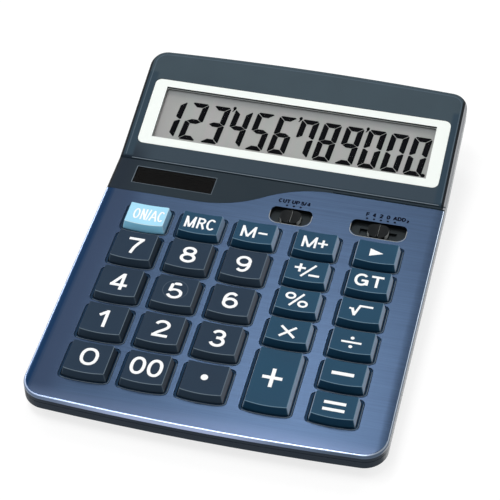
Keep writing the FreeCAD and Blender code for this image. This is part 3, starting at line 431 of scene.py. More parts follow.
def plastic(name, dark, light, rough=(0.4, 0.5), grain=0.000004, fine=6000.0, shine=0.5, edge=None,
            flank=None, shadow=None, brow=None, areas=(), rim_shade=None):
    """Moulded plastic of two close colours, with a range of roughness and a fine grain.

    Flank is painted light and shade on faces that look aside, and shadow their painted shade towards the
    left.
    Brow is painted light and shade on faces that look forward, edge a painted highlight on the right and
    front edges, and the last colour painted shade on the rims over the side walls, which then get faint
    ribs.
    """
    made, tree, shader = material(name)
    grain_node = effect(tree, GRAIN, Fine=fine)
    cloud = grain_node.outputs["Cloudiness"]
    tilt = effect(tree, TILT).outputs
    colour = tint(tree, spread(tree, cloud, 0.0, 1.0), dark, light)
    # Painted light and shade on faces that look aside, shaded towards the left.
    if flank:
        shade = tint(tree, ramp(tree, place_axes(tree)["X"], *SHADOW_SIDE), shadow or flank, flank)
        colour = tint(tree, ramp(tree, tilt["Sideways"], *TURNED_AWAY), colour, shade)
    # Painted light and shade on faces that look forward.
    if brow:
        colour = tint(tree, ramp(tree, tilt["Forward"], *TURNED_AWAY), colour, brow)
    # A painted highlight along the right and front edges.
    if edge:
        colour = tint(tree, effect(tree, EDGE_HIGHLIGHT).outputs["Mask"], colour, edge)
    # Painted shade: a dark line on the rims over the side walls.
    if rim_shade:
        rim = overlap(tree, ramp(tree, tilt["Sideways"], *RIM_SHADE_STARTS),
                      ramp(tree, tilt["Sideways"], *RIM_SHADE_ENDS))
        colour = tint(tree, rim, colour, rim_shade)
        ribs = effect(tree, BRUSHED, Broad=RIB_SCALE).outputs["Streak"]
        side = overlap(tree, ramp(tree, tilt["Sideways"], *SIDE_WALL), spread(tree, ribs, *RIB_SHINE))
        tree.links.new(side, shader.inputs["Coat Weight"])
        shader.inputs["Coat Roughness"].default_value = RIB_ROUGHNESS
    deepest = None
    for middle_x, middle_y, half_x, half_y, soft, kind, shade in areas:
        block = effect(tree, INSIDE, Middle_X=middle_x, Middle_Y=middle_y, Half_X=half_x, Half_Y=half_y,
                       Soft=soft)
        mask = block.outputs["Mask"]
        if kind == "deep":
            deepest = mask if deepest is None else maths(tree, "MAXIMUM", deepest, mask)
        else:
            mask = overlap(tree, mask, ramp(tree, tilt["Level"], *FACE_KINDS[kind]))
        colour = tint(tree, mask, colour, shade)
    if deepest is not None:
        tree.links.new(deepest, shader.inputs["Metallic"])
    tree.links.new(colour, shader.inputs["Base Color"])
    tree.links.new(spread(tree, cloud, *rough), shader.inputs["Roughness"])
    shader.inputs["Specular IOR Level"].default_value = shine
    relief(tree, shader, grain_node.outputs["Height"], grain)
    return made


print("kinds of face:", list(FACE_KINDS))

# %% [markdown]
# The housing's tints follow its form. The darker panel round the solar cell is its own colour; the rest is
# painted light and shade: painted dark lines where its walls begin, a painted grey reflection along the top
# of its right wall, painted shade by the crease, at the left end of the solar panel, beside the display, on
# the head's left rim and at the front end, and deep painted shade under the keys and in the switch recesses.
# More lamps could not give that shade without changing the rest. Deep places are made metallic, so that
# they show only their own dark colour. Each area is its middle and half its size along X and Y, the
# softness of its border, its faces and its colour.

# %% The plastic parts
# All areas but the solar panel are painted light and shade; the solar panel's darker colour is its own.
HOUSING_AREAS = {
    "shade_by_the_crease": (0.0, (crease.y + 3) * MM, 0.1, 0.003, 0.006, "top", (47, 61, 72)),
    "solar_panel": (0.0, (crease.y - 10.4) * MM, 0.0672, 0.0101, 0.0001, "top", (22, 36, 45)),
    "shade_at_solar_panel_left_end": (-0.067, (crease.y - 10.4) * MM, 0.003, 0.0101, 0.012, "top", (12, 27, 40)),
    "shade_left_of_display": (-0.0645, (crease.y + 22) * MM, 0.0016, 0.0200, 0.0016, "top", (38, 57, 70)),
    "shade_right_of_display": (0.0640, (crease.y + 22) * MM, 0.0010, 0.0210, 0.0016, "top", (38, 57, 71)),
    "shade_on_left_rim_of_head": (-0.0672, (crease.y + 16) * MM, 0.0010, 0.0365, 0.0004, "top", (6, 14, 21)),
    "shade_line_over_right_wall": (0.0666, (crease.y + 16) * MM, 0.0014, 0.0365, 0.0001, "edge", (8, 14, 20)),
    "reflection_on_top_of_right_wall": (0.0672, (crease.y + 16) * MM, 0.0010, 0.0365, 0.0001, "edge", (152, 154, 157)),
    "shade_on_front_end": (0.0, front_y * MM, 0.1, 0.010, 0.012, "all", (42, 53, 66)),
    "shade_under_the_keys": (0.0, (front_y + 55) * MM, 0.0625, 0.0508, 0.0001, "deep", (21, 38, 56)),
    "shade_on_rounding_switch_floor": (0.0086, (front_y + 109.9) * MM, 0.0088, 0.0052, 0.0001, "deep", (38, 42, 44)),
    "shade_on_decimal_switch_floor": (0.0436, (front_y + 109.9) * MM, 0.0115, 0.0052, 0.0001, "deep", (38, 42, 44)),
}
FINISHES = {
    # The housing's last colour is painted shade on the rims over its side walls.
    "housing": plastic("housing_satin", (52, 67, 76), (57, 72, 81), (0.42, 0.5), shine=0.12,
                       areas=HOUSING_AREAS.values(), rim_shade=(10, 17, 23)),
    "rubber": plastic("foot_rubber", (20, 20, 21), (28, 28, 29), (0.7, 0.85), 0.00002, 3000.0),
    "keypad": plastic("keypad_silicone", (15, 18, 22), (22, 26, 31), (0.45, 0.6), shine=0.3),
    "board": plastic("board_green", (22, 74, 42), (30, 88, 50), (0.3, 0.4)),
    "seal": plastic("chip_seal", (10, 10, 11), (18, 18, 19), (0.2, 0.35)),
    "parts": plastic("small_parts", (24, 24, 34), (36, 36, 50), (0.3, 0.4)),
    "cell_glass": plastic("cell_dark", (14, 12, 12), (19, 16, 16), (0.2, 0.3), shine=0.1),
    "lead": plastic("lead_sleeve", (140, 24, 20), (160, 34, 28), (0.35, 0.45)),
    "surround": plastic("surround_white", (236, 242, 238), (240, 245, 241), (0.5, 0.6), 0.000001, shine=0.2),
    "tray": plastic("tray_white", (214, 214, 210), (222, 222, 218), (0.5, 0.6)),
    "ribbon": plastic("ribbon_foil", (150, 110, 50), (166, 124, 62), (0.3, 0.4)),
    # The knob's flank is a painted highlight on its side faces. On the keys, flank, shadow and brow are
    # painted light and shade on faces that look aside and forward, and edge a painted highlight on right and
    # front edges.
    "knob": plastic("knob_black", (13, 16, 18), (17, 20, 22), (0.3, 0.4), shine=0.08, flank=(184, 188, 186)),
    "number_key": plastic("number_key", (27, 45, 63), (31, 49, 67), (0.4, 0.5), shine=0.1,
                          edge=(108, 124, 136), flank=(112, 118, 128), shadow=(44, 56, 68),
                          brow=(50, 65, 80)),
    "function_key": plastic("function_key", (25, 63, 87), (30, 68, 92), (0.4, 0.5), shine=0.1,
                            edge=(108, 138, 158), flank=(172, 190, 212), shadow=(96, 122, 148),
                            brow=(26, 60, 84)),
    "on_key": plastic("on_key", (158, 213, 238), (166, 219, 242), (0.4, 0.5), shine=0.12,
                      edge=(205, 236, 248), flank=(140, 186, 214), brow=(150, 222, 255)),
}
print("plastic finishes:", len(FINISHES))


# %% [markdown]
# The faceplate is a sheet of metal, lacquered blue and brushed from side to side, with its sides rolled
# over. A mirror-like metal takes its colours from the room, so real reflections would need a model of that
# room. Instead the base colour is chosen by place and by the way each face looks, as painted reflections,
# light and shade, with a painted highlight on the bend round every hole.


# %% Metal finishes
def metal(name, dark, light, rough):
    """Plain plated metal."""
    made, tree, shader = material(name)
    grain_node = effect(tree, GRAIN)
    cloud = grain_node.outputs["Cloudiness"]
    tree.links.new(tint(tree, spread(tree, cloud, 0.0, 1.0), dark, light), shader.inputs["Base Color"])
    tree.links.new(spread(tree, cloud, *rough), shader.inputs["Roughness"])
    shader.inputs["Metallic"].default_value = 1.0
    relief(tree, shader, grain_node.outputs["Height"], 0.000004)
    return made


# Places and ways of looking that carry the painted light and shade below.
LEFT_PART, LEFT_BORDER = (-0.050, -0.066), (-0.048, -0.06)
REAR_PART = ((crease.y - 60) * MM, (crease.y - 22) * MM)
FRONT_BORDER = ((front_y + 8) * MM, (front_y + 1.5) * MM)
FLAT, ROLLED_LEFT, OUTER_LEFT, ROLLED_RIGHT = (0.9, 0.97), (0.0, -0.06), (-0.09, -0.13), (0.11, 0.16)
LIT_FROM, LIT_TO, RIGHT_PART, FULLY_RIGHT = (-0.062, -0.020), (0.036, 0.004), (0.036, 0.05), (0.75, 0.92)
BENT_OVER, HOLE_WALL, LIT_WALL = (0.78, 0.6), (0.8, 0.6), (0.5, 0.8)
CREST_FOOT, CREST_HEAD, CREST_SIDE = (0.68, 0.8), (0.97, 0.93), (0.1, 0.3)


def brushed_plate():
    """Blue lacquered metal, brushed side to side, with painted shade on its rolls and painted highlights on
    bends.
    """
    made, tree, shader = material("faceplate_blue")
    lines = effect(tree, BRUSHED, Broad=1900.0)
    tilt = effect(tree, TILT).outputs
    level, rightward = tilt["Level"], tilt["Rightward"]
    place = place_axes(tree)
    flat = ramp(tree, level, *FLAT)
    colour = tint(tree, spread(tree, lines.outputs["Streak"], 0.0, 1.0), (50, 66, 89), (57, 75, 100))
    # Painted shade at the rear left and along the left border, painted light along the front, painted shade
    # on the left roll with a painted highlight on its outer part, and painted shade on the right roll.
    for mask, shade in (
        (overlap(tree, ramp(tree, place["X"], *LEFT_PART), ramp(tree, place["Y"], *REAR_PART)),
         (28, 50, 80)),
        (ramp(tree, place["X"], *LEFT_BORDER), (45, 59, 82)),
        (ramp(tree, place["Y"], *FRONT_BORDER), (68, 82, 107)),
        (overlap(tree, ramp(tree, rightward, *ROLLED_LEFT), flat), (10, 44, 78)),
        (overlap(tree, ramp(tree, rightward, *OUTER_LEFT), flat), (62, 92, 130)),
        (overlap(tree, ramp(tree, rightward, *ROLLED_RIGHT), flat), (40, 54, 74)),
    ):
        colour = tint(tree, mask, colour, shade)
    # The bent-over rims get painted light near the middle, painted shade to the right and a painted grey
    # reflection where they look fully right.
    lit = overlap(tree, ramp(tree, place["X"], *LIT_FROM), ramp(tree, place["X"], *LIT_TO))
    flank = tint(tree, lit, (92, 108, 132), (158, 172, 205))
    flank = tint(tree, ramp(tree, place["X"], *RIGHT_PART), flank, (74, 88, 106))
    flank = tint(tree, ramp(tree, rightward, *FULLY_RIGHT), flank, (132, 134, 138))
    colour = tint(tree, ramp(tree, level, *BENT_OVER), colour, flank)
    # The walls of the key holes get painted shade, lighter where they look right.
    key_field = effect(tree, INSIDE, Middle_Y=(front_y + 60) * MM, Half_X=0.062, Half_Y=0.056)
    wall = tint(tree, ramp(tree, rightward, *LIT_WALL), (16, 24, 38), (78, 96, 120))
    in_holes = overlap(tree, key_field.outputs["Mask"], ramp(tree, level, *HOLE_WALL))
    colour = tint(tree, in_holes, colour, wall)
    # A painted highlight along every bend, greyer where it looks right.
    glint = tint(tree, ramp(tree, rightward, *CREST_SIDE), (176, 192, 222), (138, 148, 160))
    crest = overlap(tree, ramp(tree, level, *CREST_FOOT), ramp(tree, level, *CREST_HEAD))
    tree.links.new(tint(tree, crest, colour, glint), shader.inputs["Base Color"])
    tree.links.new(spread(tree, lines.outputs["Streak"], 0.30, 0.32), shader.inputs["Roughness"])
    shader.inputs["Metallic"].default_value = 1.0
    shader.inputs["Coat Weight"].default_value = 0.1
    shader.inputs["Coat Roughness"].default_value = 0.25
    relief(tree, shader, lines.outputs["Height"], 0.000001)
    return made


FINISHES["faceplate"] = brushed_plate()
FINISHES["steel"] = metal("plated_steel", (178, 178, 180), (200, 200, 204), (0.25, 0.35))
FINISHES["screw"] = metal("screw_zinc", (150, 150, 154), (172, 172, 176), (0.3, 0.42))
print("metal finishes:", [FINISHES[slot].name for slot in ("faceplate", "steel", "screw")])

# %% [markdown]
# The display has a clear lens and a grey film behind it, and the solar cell a smoked window. Plain glass
# would be the usual way, but it keeps the lamps' light off what lies behind it in a small render. So shadow
# rays and soft light pass straight through, and a low index of refraction keeps the reflections as faint as
# the photograph's.


# %% Clear finishes
BAND_SCALE, BAND_STRETCH, SHADED_DEPTH = 260.0, 0.03, 0.0042


def clear(name, colour, bending):
    """A clear pane that mirrors little and lets plain light pass straight through it."""
    made, tree, shader = material(name)
    shader.inputs["Base Color"].default_value = linear(colour)
    shader.inputs["Transmission Weight"].default_value = 1.0
    shader.inputs["IOR"].default_value = bending
    shader.inputs["Roughness"].default_value = 0.0
    shader.inputs["Specular Tint"].default_value = (0.15, 0.15, 0.15, 1.0)
    path = tree.nodes.new("ShaderNodeLightPath")
    through = tree.nodes.new("ShaderNodeBsdfTransparent")
    through.inputs["Color"].default_value = linear(colour)
    mix = tree.nodes.new("ShaderNodeMixShader")
    plain = maths(tree, "MAXIMUM", path.outputs["Is Shadow Ray"], path.outputs["Is Diffuse Ray"])
    tree.links.new(plain, mix.inputs[0])
    tree.links.new(shader.outputs[0], mix.inputs[1])
    tree.links.new(through.outputs[0], mix.inputs[2])
    tree.links.new(mix.outputs[0], tree.nodes["Material Output"].inputs["Surface"])
    return made


def display_panel():
    """Grey display film with faint upright bands, a little darker along its top as painted shade under the
    frame.
    """
    made, tree, shader = material("panel_grey")
    stretch = tree.nodes.new("ShaderNodeMapping")
    stretch.inputs["Scale"].default_value = (1.0, BAND_STRETCH, BAND_STRETCH)
    tree.links.new(tree.nodes.new("ShaderNodeTexCoord").outputs["Object"], stretch.inputs["Vector"])
    bands = tree.nodes.new("ShaderNodeTexNoise")
    bands.inputs["Scale"].default_value = BAND_SCALE
    tree.links.new(stretch.outputs["Vector"], bands.inputs["Vector"])
    colour = tint(tree, spread(tree, bands.outputs["Fac"], 0.0, 1.0), (156, 161, 157), (162, 160, 160))
    place = place_axes(tree)
    # Painted shade along the top, under the frame's edge.
    top_edge = (head @ Vector((0, VIEW_TOP, PANEL_TOP))).y
    colour = tint(tree, ramp(tree, place["Y"], top_edge - SHADED_DEPTH, top_edge), colour, (152, 155, 156))
    tree.links.new(colour, shader.inputs["Base Color"])
    tree.links.new(spread(tree, bands.outputs["Fac"], 0.45, 0.55), shader.inputs["Roughness"])
    shader.inputs["Specular IOR Level"].default_value = 0.1
    return made


FINISHES["panel"] = display_panel()
FINISHES["lens"] = clear("lens_clear", (255, 255, 255), 1.04)
FINISHES["window"] = clear("window_smoked", (84, 78, 76), 1.25)
print("display finishes:", [FINISHES[slot].name for slot in ("panel", "lens", "window")])

# %% [markdown]
# The CAD model says which material slot each part has, such as housing or number_key. Every part takes the
# finish of its slot, so nothing is named twice and no part is left out.

# %% Put the finishes on the parts
for part in frame["record"]["subparts"]:
    mesh = frame["nodes"][part["node"]].data
    mesh.materials.clear()
    mesh.materials.append(FINISHES[part["material_slot"]])


# %% [markdown]
# The marks on the keys are printed strokes of even width, so each sign is drawn as a few centre lines in a
# box of one by one, and a curve with a round section, pressed flat, gives the ink its width. A font would
# be quicker, but Blender's own has thinner, narrower figures than these.


# %% Signs as strokes
LOW, HIGH = -0.1, 1.1


def bend(x, y, across, up, start, stop, steps=16, power=1.0):
    """Points on part of an ellipse, with angles in degrees; a power under 1 makes it squarer."""
    points = []
    for step in range(steps + 1):
        angle = math.radians(start + (stop - start) * step / steps)
        aside, upward = (math.copysign(abs(v) ** power, v) for v in (math.cos(angle), math.sin(angle)))
        points.append((x + across * aside, y + up * upward))
    return points


def turned(strokes):
    """The same strokes turned by half a turn in their box."""
    return [[(1 - x, 1 - y) for x, y in stroke] for stroke in strokes]


SIX = [bend(0.5, 0.5, 0.5, 0.5, 48, 190, power=0.95), bend(0.5, 0.3, 0.5, 0.3, 0, 360, 24)]
SIGNS = {
    "0": [bend(0.5, 0.5, 0.5, 0.5, 0, 360, 28, 0.9)],
    "1": [[(0.96, LOW), (0.96, HIGH)], [(0.0, 0.70), (0.9, 1.0)]],
    "2": [bend(0.5, 0.73, 0.5, 0.27, 168, -20) + [(0.86, 0.52), (0.52, 0.34), (0.12, 0.14), (0.03, 0.0)],
          [(-0.13, 0.0), (1.13, 0.0)]],
    "3": [bend(0.5, 0.76, 0.43, 0.24, 165, -82), bend(0.5, 0.27, 0.5, 0.27, 82, -165),
          [(0.36, 0.53), (0.56, 0.53)]],
    "4": [[(0.72, LOW), (0.72, HIGH)], [(-0.12, 0.24), (1.14, 0.24)], [(0.68, 1.04), (-0.02, 0.22)]],
    "5": [[(0.12, 1.0), (1.0, 1.0)], [(0.17, 1.06), (0.06, 0.44)], bend(0.48, 0.31, 0.52, 0.31, 140, -160)],
    "6": SIX,
    "7": [[(-0.13, 1.0), (1.13, 1.0)], [(1.02, 1.0), (0.68, 0.62), (0.46, 0.3), (0.36, LOW)]],
    "8": [bend(0.5, 0.77, 0.43, 0.23, 0, 360, 24), bend(0.5, 0.265, 0.5, 0.265, 0, 360, 24)],
    "9": turned(SIX),
    "A": [[(-0.06, LOW), (0.5, 1.06)], [(0.5, 1.06), (1.06, LOW)], [(0.15, 0.3), (0.85, 0.3)]],
    "C": [bend(0.52, 0.5, 0.52, 0.5, 42, 318, 22, 0.95)],
    "D": [[(0.0, LOW), (0.0, HIGH)],
          [(0.0, 1.0), (0.3, 1.0)] + bend(0.4, 0.5, 0.6, 0.5, 90, -90) + [(0.3, 0.0), (0.0, 0.0)]],
    "F": [[(0.0, LOW), (0.0, HIGH)], [(0.0, 1.0), (1.1, 1.0)], [(0.0, 0.5), (0.95, 0.5)]],
    "G": [bend(0.5, 0.5, 0.5, 0.5, 42, 345, 22, 0.95), [(0.5, 0.44), (1.08, 0.44)],
          [(1.0, 0.5), (1.0, 0.0)]],
    "M": [[(0.0, LOW), (0.0, HIGH)], [(1.0, LOW), (1.0, HIGH)], [(0.0, 1.06), (0.5, -0.06)],
          [(0.5, -0.06), (1.0, 1.06)]],
    "N": [[(0.0, LOW), (0.0, HIGH)], [(1.0, LOW), (1.0, HIGH)], [(0.0, 1.05), (1.0, -0.05)]],
    "O": [bend(0.5, 0.5, 0.5, 0.5, 0, 360, 28, 0.95)],
    "P": [[(0.0, LOW), (0.0, HIGH)],
          [(0.0, 1.0), (0.4, 1.0)] + bend(0.5, 0.73, 0.5, 0.27, 90, -90) + [(0.4, 0.46), (0.0, 0.46)]],
    "R": [[(0.0, LOW), (0.0, HIGH)],
          [(0.0, 1.0), (0.4, 1.0)] + bend(0.5, 0.76, 0.45, 0.24, 90, -90) + [(0.4, 0.52), (0.0, 0.52)],
          [(0.5, 0.52), (1.02, LOW)]],
    "T": [[(-0.12, 1.0), (1.12, 1.0)], [(0.5, LOW), (0.5, 1.0)]],
    "U": [[(0.0, HIGH), (0.0, 0.36)] + bend(0.5, 0.36, 0.5, 0.36, 180, 360) + [(1.0, 0.36), (1.0, HIGH)]],
    "/": [[(0.0, LOW), (1.0, HIGH)]],
    "-": [[(-0.08, 0.5), (1.08, 0.5)]],
}
print("signs:", len(SIGNS))


# %% [markdown]
# Real ink lies on the surface as a thin film with soft edges. It could be painted into the finish, but then
# it would blur in a close view. Here a round section is swept along the centre lines and pressed flat, and
# each mark is one mesh that rides on the part that carries it. Small helpers give the signs, bars, rings
# and dots in millimetres.


# %% Ink
INK_HEIGHT = 0.03
SAME_POINT = 0.001


def sign(letter, left, right, bottom, top, stroke):
    """A sign's strokes in millimetres, filling the box that the ink covers."""
    width, height = right - left - stroke, top - bottom - stroke
    lines = []
    for line in SIGNS[letter]:
        lines.append([(left + stroke / 2 + x * width, bottom + stroke / 2 + y * height) for x, y in line])
    return [(line, stroke) for line in lines]


def bar(left, right, y, thickness):
    """One level stroke."""
    return ([(left, y), (right, y)], thickness)


def pole(x, bottom, top, thickness):
    """One upright stroke."""
    return ([(x, bottom), (x, top)], thickness)


def ring(x, y, across, up, thickness):
    """A closed oval stroke."""
    return (bend(x, y, across, up, 0, 360, 24), thickness)


def dot(x, y, radius):
    """A filled round dot, drawn as a tight ring."""
    return (bend(x, y, radius / 2, radius / 2, 0, 360, 16), radius)


def printed(name, strokes, plane, height, body, finish, dish=None):
    """Ink strokes laid on a plane at a height, or in a dish under it, as one mesh that rides on a body."""
    curve = bpy.data.curves.new(name, "CURVE")
    curve.dimensions = "3D"
    # The section is one millimetre across, and the radius of each point scales it.
    curve.bevel_depth = 0.5
    curve.bevel_resolution = 2
    curve.use_fill_caps = True
    curve.resolution_u = 3
    for points, thickness in strokes:
        closed = len(points) > 2 and (Vector(points[0]) - Vector(points[-1])).length < SAME_POINT
        points = points[:-1] if closed else points
        spline = curve.splines.new("NURBS" if len(points) > 2 else "POLY")
        spline.points.add(len(points) - 1)
        for target, point in zip(spline.points, points):
            target.co = (point[0], point[1], 0, 1)
            target.radius = thickness
        if len(points) > 2:
            spline.order_u = 3
            spline.use_endpoint_u = not closed
            spline.use_cyclic_u = closed
    holder = bpy.data.objects.new(name + "_curve", curve)
    bpy.context.scene.collection.objects.link(holder)
    mesh = bpy.data.meshes.new_from_object(holder.evaluated_get(bpy.context.evaluated_depsgraph_get()))
    bpy.data.objects.remove(holder)
    widest = max(thickness for _, thickness in strokes) / 2
    for vertex in mesh.vertices:
        vertex.co.z = height + vertex.co.z / widest * INK_HEIGHT
        if dish:
            vertex.co.z -= dish(vertex.co.x, vertex.co.y)
    mesh.transform(plane)
    mesh.materials.clear()
    mesh.materials.append(finish)
    piece = bpy.data.objects.new(name, mesh)
    bpy.context.scene.collection.objects.link(piece)
    for polygon in mesh.polygons:
        polygon.use_smooth = True
    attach(piece, body)
    return piece


WHITE_INK = plastic("ink_white", (244, 246, 247), (250, 251, 252), (0.5, 0.6), 0.0000005, 4000.0, shine=0.2)
NAVY_INK = plastic("ink_navy", (5, 8, 22), (8, 12, 30), (0.5, 0.6), 0.0000005, 4000.0, shine=0.02)
print("inks:", WHITE_INK.name, NAVY_INK.name)

# %% [markdown]
# Each key has one or a few printed signs. Their places were measured on the plane of the key tops, so every
# sign is given by the box that its ink covers, with one stroke width for all digits. Centring each sign on
# its key would be quicker, but the real signs sit a little off centre. The middle key has a shallow dish
# that a finger can feel, and its sign lies in it.

# %% Marks on the keys
DIGIT_STROKE = 1.3
DISH_CENTRE = (-24.0, 38.85)
DISH_RADIUS = 4.8
DISH_DEPTH = 0.35


def dish_under(x, y):
    """How far the hollow of the middle key lies under its top."""
    away = math.hypot(x - DISH_CENTRE[0], y - DISH_CENTRE[1]) / DISH_RADIUS
    return DISH_DEPTH * (1 - away ** 2) if away < 1 else 0.0


MARKS = {
    "key_0": sign("0", -49.05, -42.1, -3.95, 4.35, DIGIT_STROKE),
    "key_00": sign("0", -30.1, -24.3, -3.95, 4.35, DIGIT_STROKE)
    + sign("0", -23.6, -17.85, -3.95, 4.35, DIGIT_STROKE),
    "key_point": [dot(-2.35, 0.2, 1.4)],
    "key_1": sign("1", -48.6, -44.5, 15.0, 23.2, DIGIT_STROKE),
    "key_2": sign("2", -26.75, -20.7, 15.0, 23.2, DIGIT_STROKE),
    "key_3": sign("3", -5.3, 0.65, 15.0, 23.3, DIGIT_STROKE),
    "key_4": sign("4", -49.0, -42.5, 34.2, 42.4, DIGIT_STROKE),
    "key_5": sign("5", -27.0, -20.9, 34.4, 42.7, DIGIT_STROKE),
    "key_6": sign("6", -5.45, 0.6, 34.3, 42.4, DIGIT_STROKE),
    "key_7": sign("7", -48.6, -42.5, 53.5, 61.7, DIGIT_STROKE),
    "key_8": sign("8", -27.05, -20.8, 53.3, 61.7, DIGIT_STROKE),
    "key_9": sign("9", -5.45, 0.6, 53.3, 61.7, DIGIT_STROKE),
    "key_equals": [bar(41.7, 49.7, -3.9, 1.4), bar(41.7, 49.7, -0.8, 1.4)],
    "key_subtract": [bar(41.5, 49.7, 12.9, 1.6)],
    "key_divide": [bar(41.8, 49.3, 28.2, 0.95), dot(45.6, 30.3, 0.74), dot(45.6, 26.1, 0.74)],
    "key_root": [([(41.4, 44.7), (42.7, 44.5)], 0.85), ([(42.5, 44.9), (43.8, 41.4)], 1.1),
                 ([(43.6, 41.4), (45.4, 46.7)], 0.95), bar(45.1, 50.1, 46.35, 0.95)],
    "key_grand_total": sign("G", 40.3, 45.8, 56.4, 62.7, 1.1) + sign("T", 46.5, 51.4, 56.5, 62.5, 1.1),
    "key_multiply": [([(19.0, 30.5), (24.7, 25.5)], 1.05), ([(24.7, 30.5), (19.0, 25.5)], 1.05)],
    "key_percent": [ring(18.9, 45.8, 1.6, 1.3, 0.95), ring(24.1, 42.4, 1.55, 1.3, 0.95),
                    ([(19.2, 40.9), (23.8, 47.4)], 0.95)],
    "key_sign": [bar(17.0, 21.3, 60.5, 1.05), pole(19.15, 58.4, 62.6, 1.05),
                 ([(20.1, 56.2), (25.0, 62.7)], 0.95), bar(23.0, 27.1, 57.3, 1.05)],
    "key_add": [bar(17.7, 25.1, 5.5, 1.5), pole(21.4, 1.1, 9.8, 1.5)],
    "key_memory_recall": sign("M", -30.1, -25.95, 71.9, 77.7, 0.88)
    + sign("R", -25.2, -21.85, 71.9, 77.7, 0.88) + sign("C", -21.5, -17.9, 71.8, 77.8, 0.88),
    "key_memory_subtract": sign("M", -7.45, -1.7, 71.8, 77.6, 0.95) + [bar(-0.7, 2.9, 74.7, 0.95)],
    "key_memory_add": sign("M", 16.8, 22.5, 71.6, 77.4, 0.95)
    + [bar(22.95, 26.8, 74.4, 0.95), pole(24.9, 72.4, 76.4, 0.95)],
    "key_on_clear": sign("O", -51.1, -48.4, 71.9, 77.5, 0.7) + sign("N", -48.0, -45.7, 71.9, 77.5, 0.7)
    + sign("/", -45.6, -44.2, 71.9, 77.5, 0.6) + sign("A", -44.3, -41.3, 71.9, 77.5, 0.7)
    + sign("C", -41.2, -38.7, 71.8, 77.6, 0.7),
}
for key, strokes in MARKS.items():
    printed(key + "_mark", strokes, plate, KEY_RISE, key, WHITE_INK, dish_under if key == "key_5" else None)
# A painted highlight along the edge of the middle key's dish.
DISH_HIGHLIGHT = plastic("dish_highlight", (50, 66, 82), (56, 72, 88), (0.4, 0.5), shine=0.2)
dish_edge = [ring(*DISH_CENTRE, DISH_RADIUS, DISH_RADIUS, 0.3)]
printed("key_5_dish_edge", dish_edge, plate, KEY_RISE, "key_5", DISH_HIGHLIGHT)
print("marked keys:", len(MARKS))

# %% [markdown]
# One key carries a filled arrow head. A stroke can't fill it, so it is a flat outline raised by the
# thickness of the ink. Cutting it out of a plate with a boolean would also work, but an extruded outline
# stays clean. The display's figures and the lens's border are made the same way.

# %% The arrow on the last key
ARROW = [(43.25, 76.3), (48.5, 74.4), (43.25, 72.4)]


def finished_piece(name, work, place, body, finish):
    """Worked mesh data put in its place, as an object with its finish that rides on a body."""
    work.transform(place)
    mesh = bpy.data.meshes.new(name)
    work.to_mesh(mesh)
    work.free()
    mesh.materials.append(finish)
    piece = bpy.data.objects.new(name, mesh)
    bpy.context.scene.collection.objects.link(piece)
    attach(piece, body)
    return piece


def flat_shape(name, shapes, plane, height, thickness, body, finish):
    """Flat outlines in millimetres, given a little thickness, as one mesh that rides on a body."""
    work = bmesh.new()
    for outline in shapes:
        face = work.faces.new([work.verts.new((x, y, height - thickness)) for x, y in outline])
        face.normal_update()
        if face.normal.z > 0:
            face.normal_flip()
        raised = bmesh.ops.extrude_face_region(work, geom=[face])
        moved = [v for v in raised["geom"] if isinstance(v, bmesh.types.BMVert)]
        bmesh.ops.translate(work, verts=moved, vec=(0, 0, thickness))
    bmesh.ops.recalc_face_normals(work, faces=work.faces)
    return finished_piece(name, work, plane, body, finish)


arrow_top = KEY_RISE + INK_HEIGHT
flat_shape("key_step_back_mark", [ARROW], plate, arrow_top, INK_HEIGHT * 2, "key_step_back", WHITE_INK)
print("arrow corners:", len(ARROW))

# %% [markdown]
# Both switches have their settings printed behind them, with a dot for each place of the knob. The letters
# are small and stand unevenly, so each has its own left edge instead of one even step.

# %% Marks on the faceplate
SMALL_STROKE, SLASH_WIDTH = 0.56, 0.75
SCALE_FOOT, SCALE_TOP, DOT_ROW, DOT_RADIUS = 96.3, 98.5, 95.1, 0.5


def word(letters, starts, width, bottom=SCALE_FOOT, top=SCALE_TOP):
    """Several small signs, each at its own left edge."""
    lines = []
    for letter, left in zip(letters, starts):
        share = SLASH_WIDTH if letter == "/" else 1.0
        lines += sign(letter, left, left + width * share, bottom, top, SMALL_STROKE)
    return lines


rounding = word("CUT", (2.0, 3.7, 5.25), 1.6) + word("UP", (7.4, 9.05), 1.6)
rounding += word("5/4", (11.0, 12.3, 13.5), 1.45)
rounding += [dot(x, DOT_ROW, DOT_RADIUS) for x in (5.9, 8.65, 11.4)]
decimals = word("F420", (37.3, 39.9, 42.65, 45.45), 1.5) + word("ADD", (48.1, 49.8, 51.5), 1.65)
decimals += word("2", (53.4,), 1.1, 96.0, 97.4)
decimals += [dot(x, DOT_ROW, DOT_RADIUS) for x in (38.1, 40.85, 43.6, 46.35, 49.1)]
printed("rounding_switch_scale", rounding, plate, 0.0, "case", NAVY_INK)
printed("decimal_switch_scale", decimals, plate, 0.0, "case", NAVY_INK)
print("switch scales:", len(rounding), len(decimals))

# %% [markdown]
# Where an edge is narrower than a pixel, light still draws a thin line along it: round the keys' collars,
# the switch slots, the small window and the head. Rounding those edges in the CAD model would need very
# small faces, so each line is a painted highlight, a hair of paler plastic laid on the edge. The collars
# come first, one line for each opening.

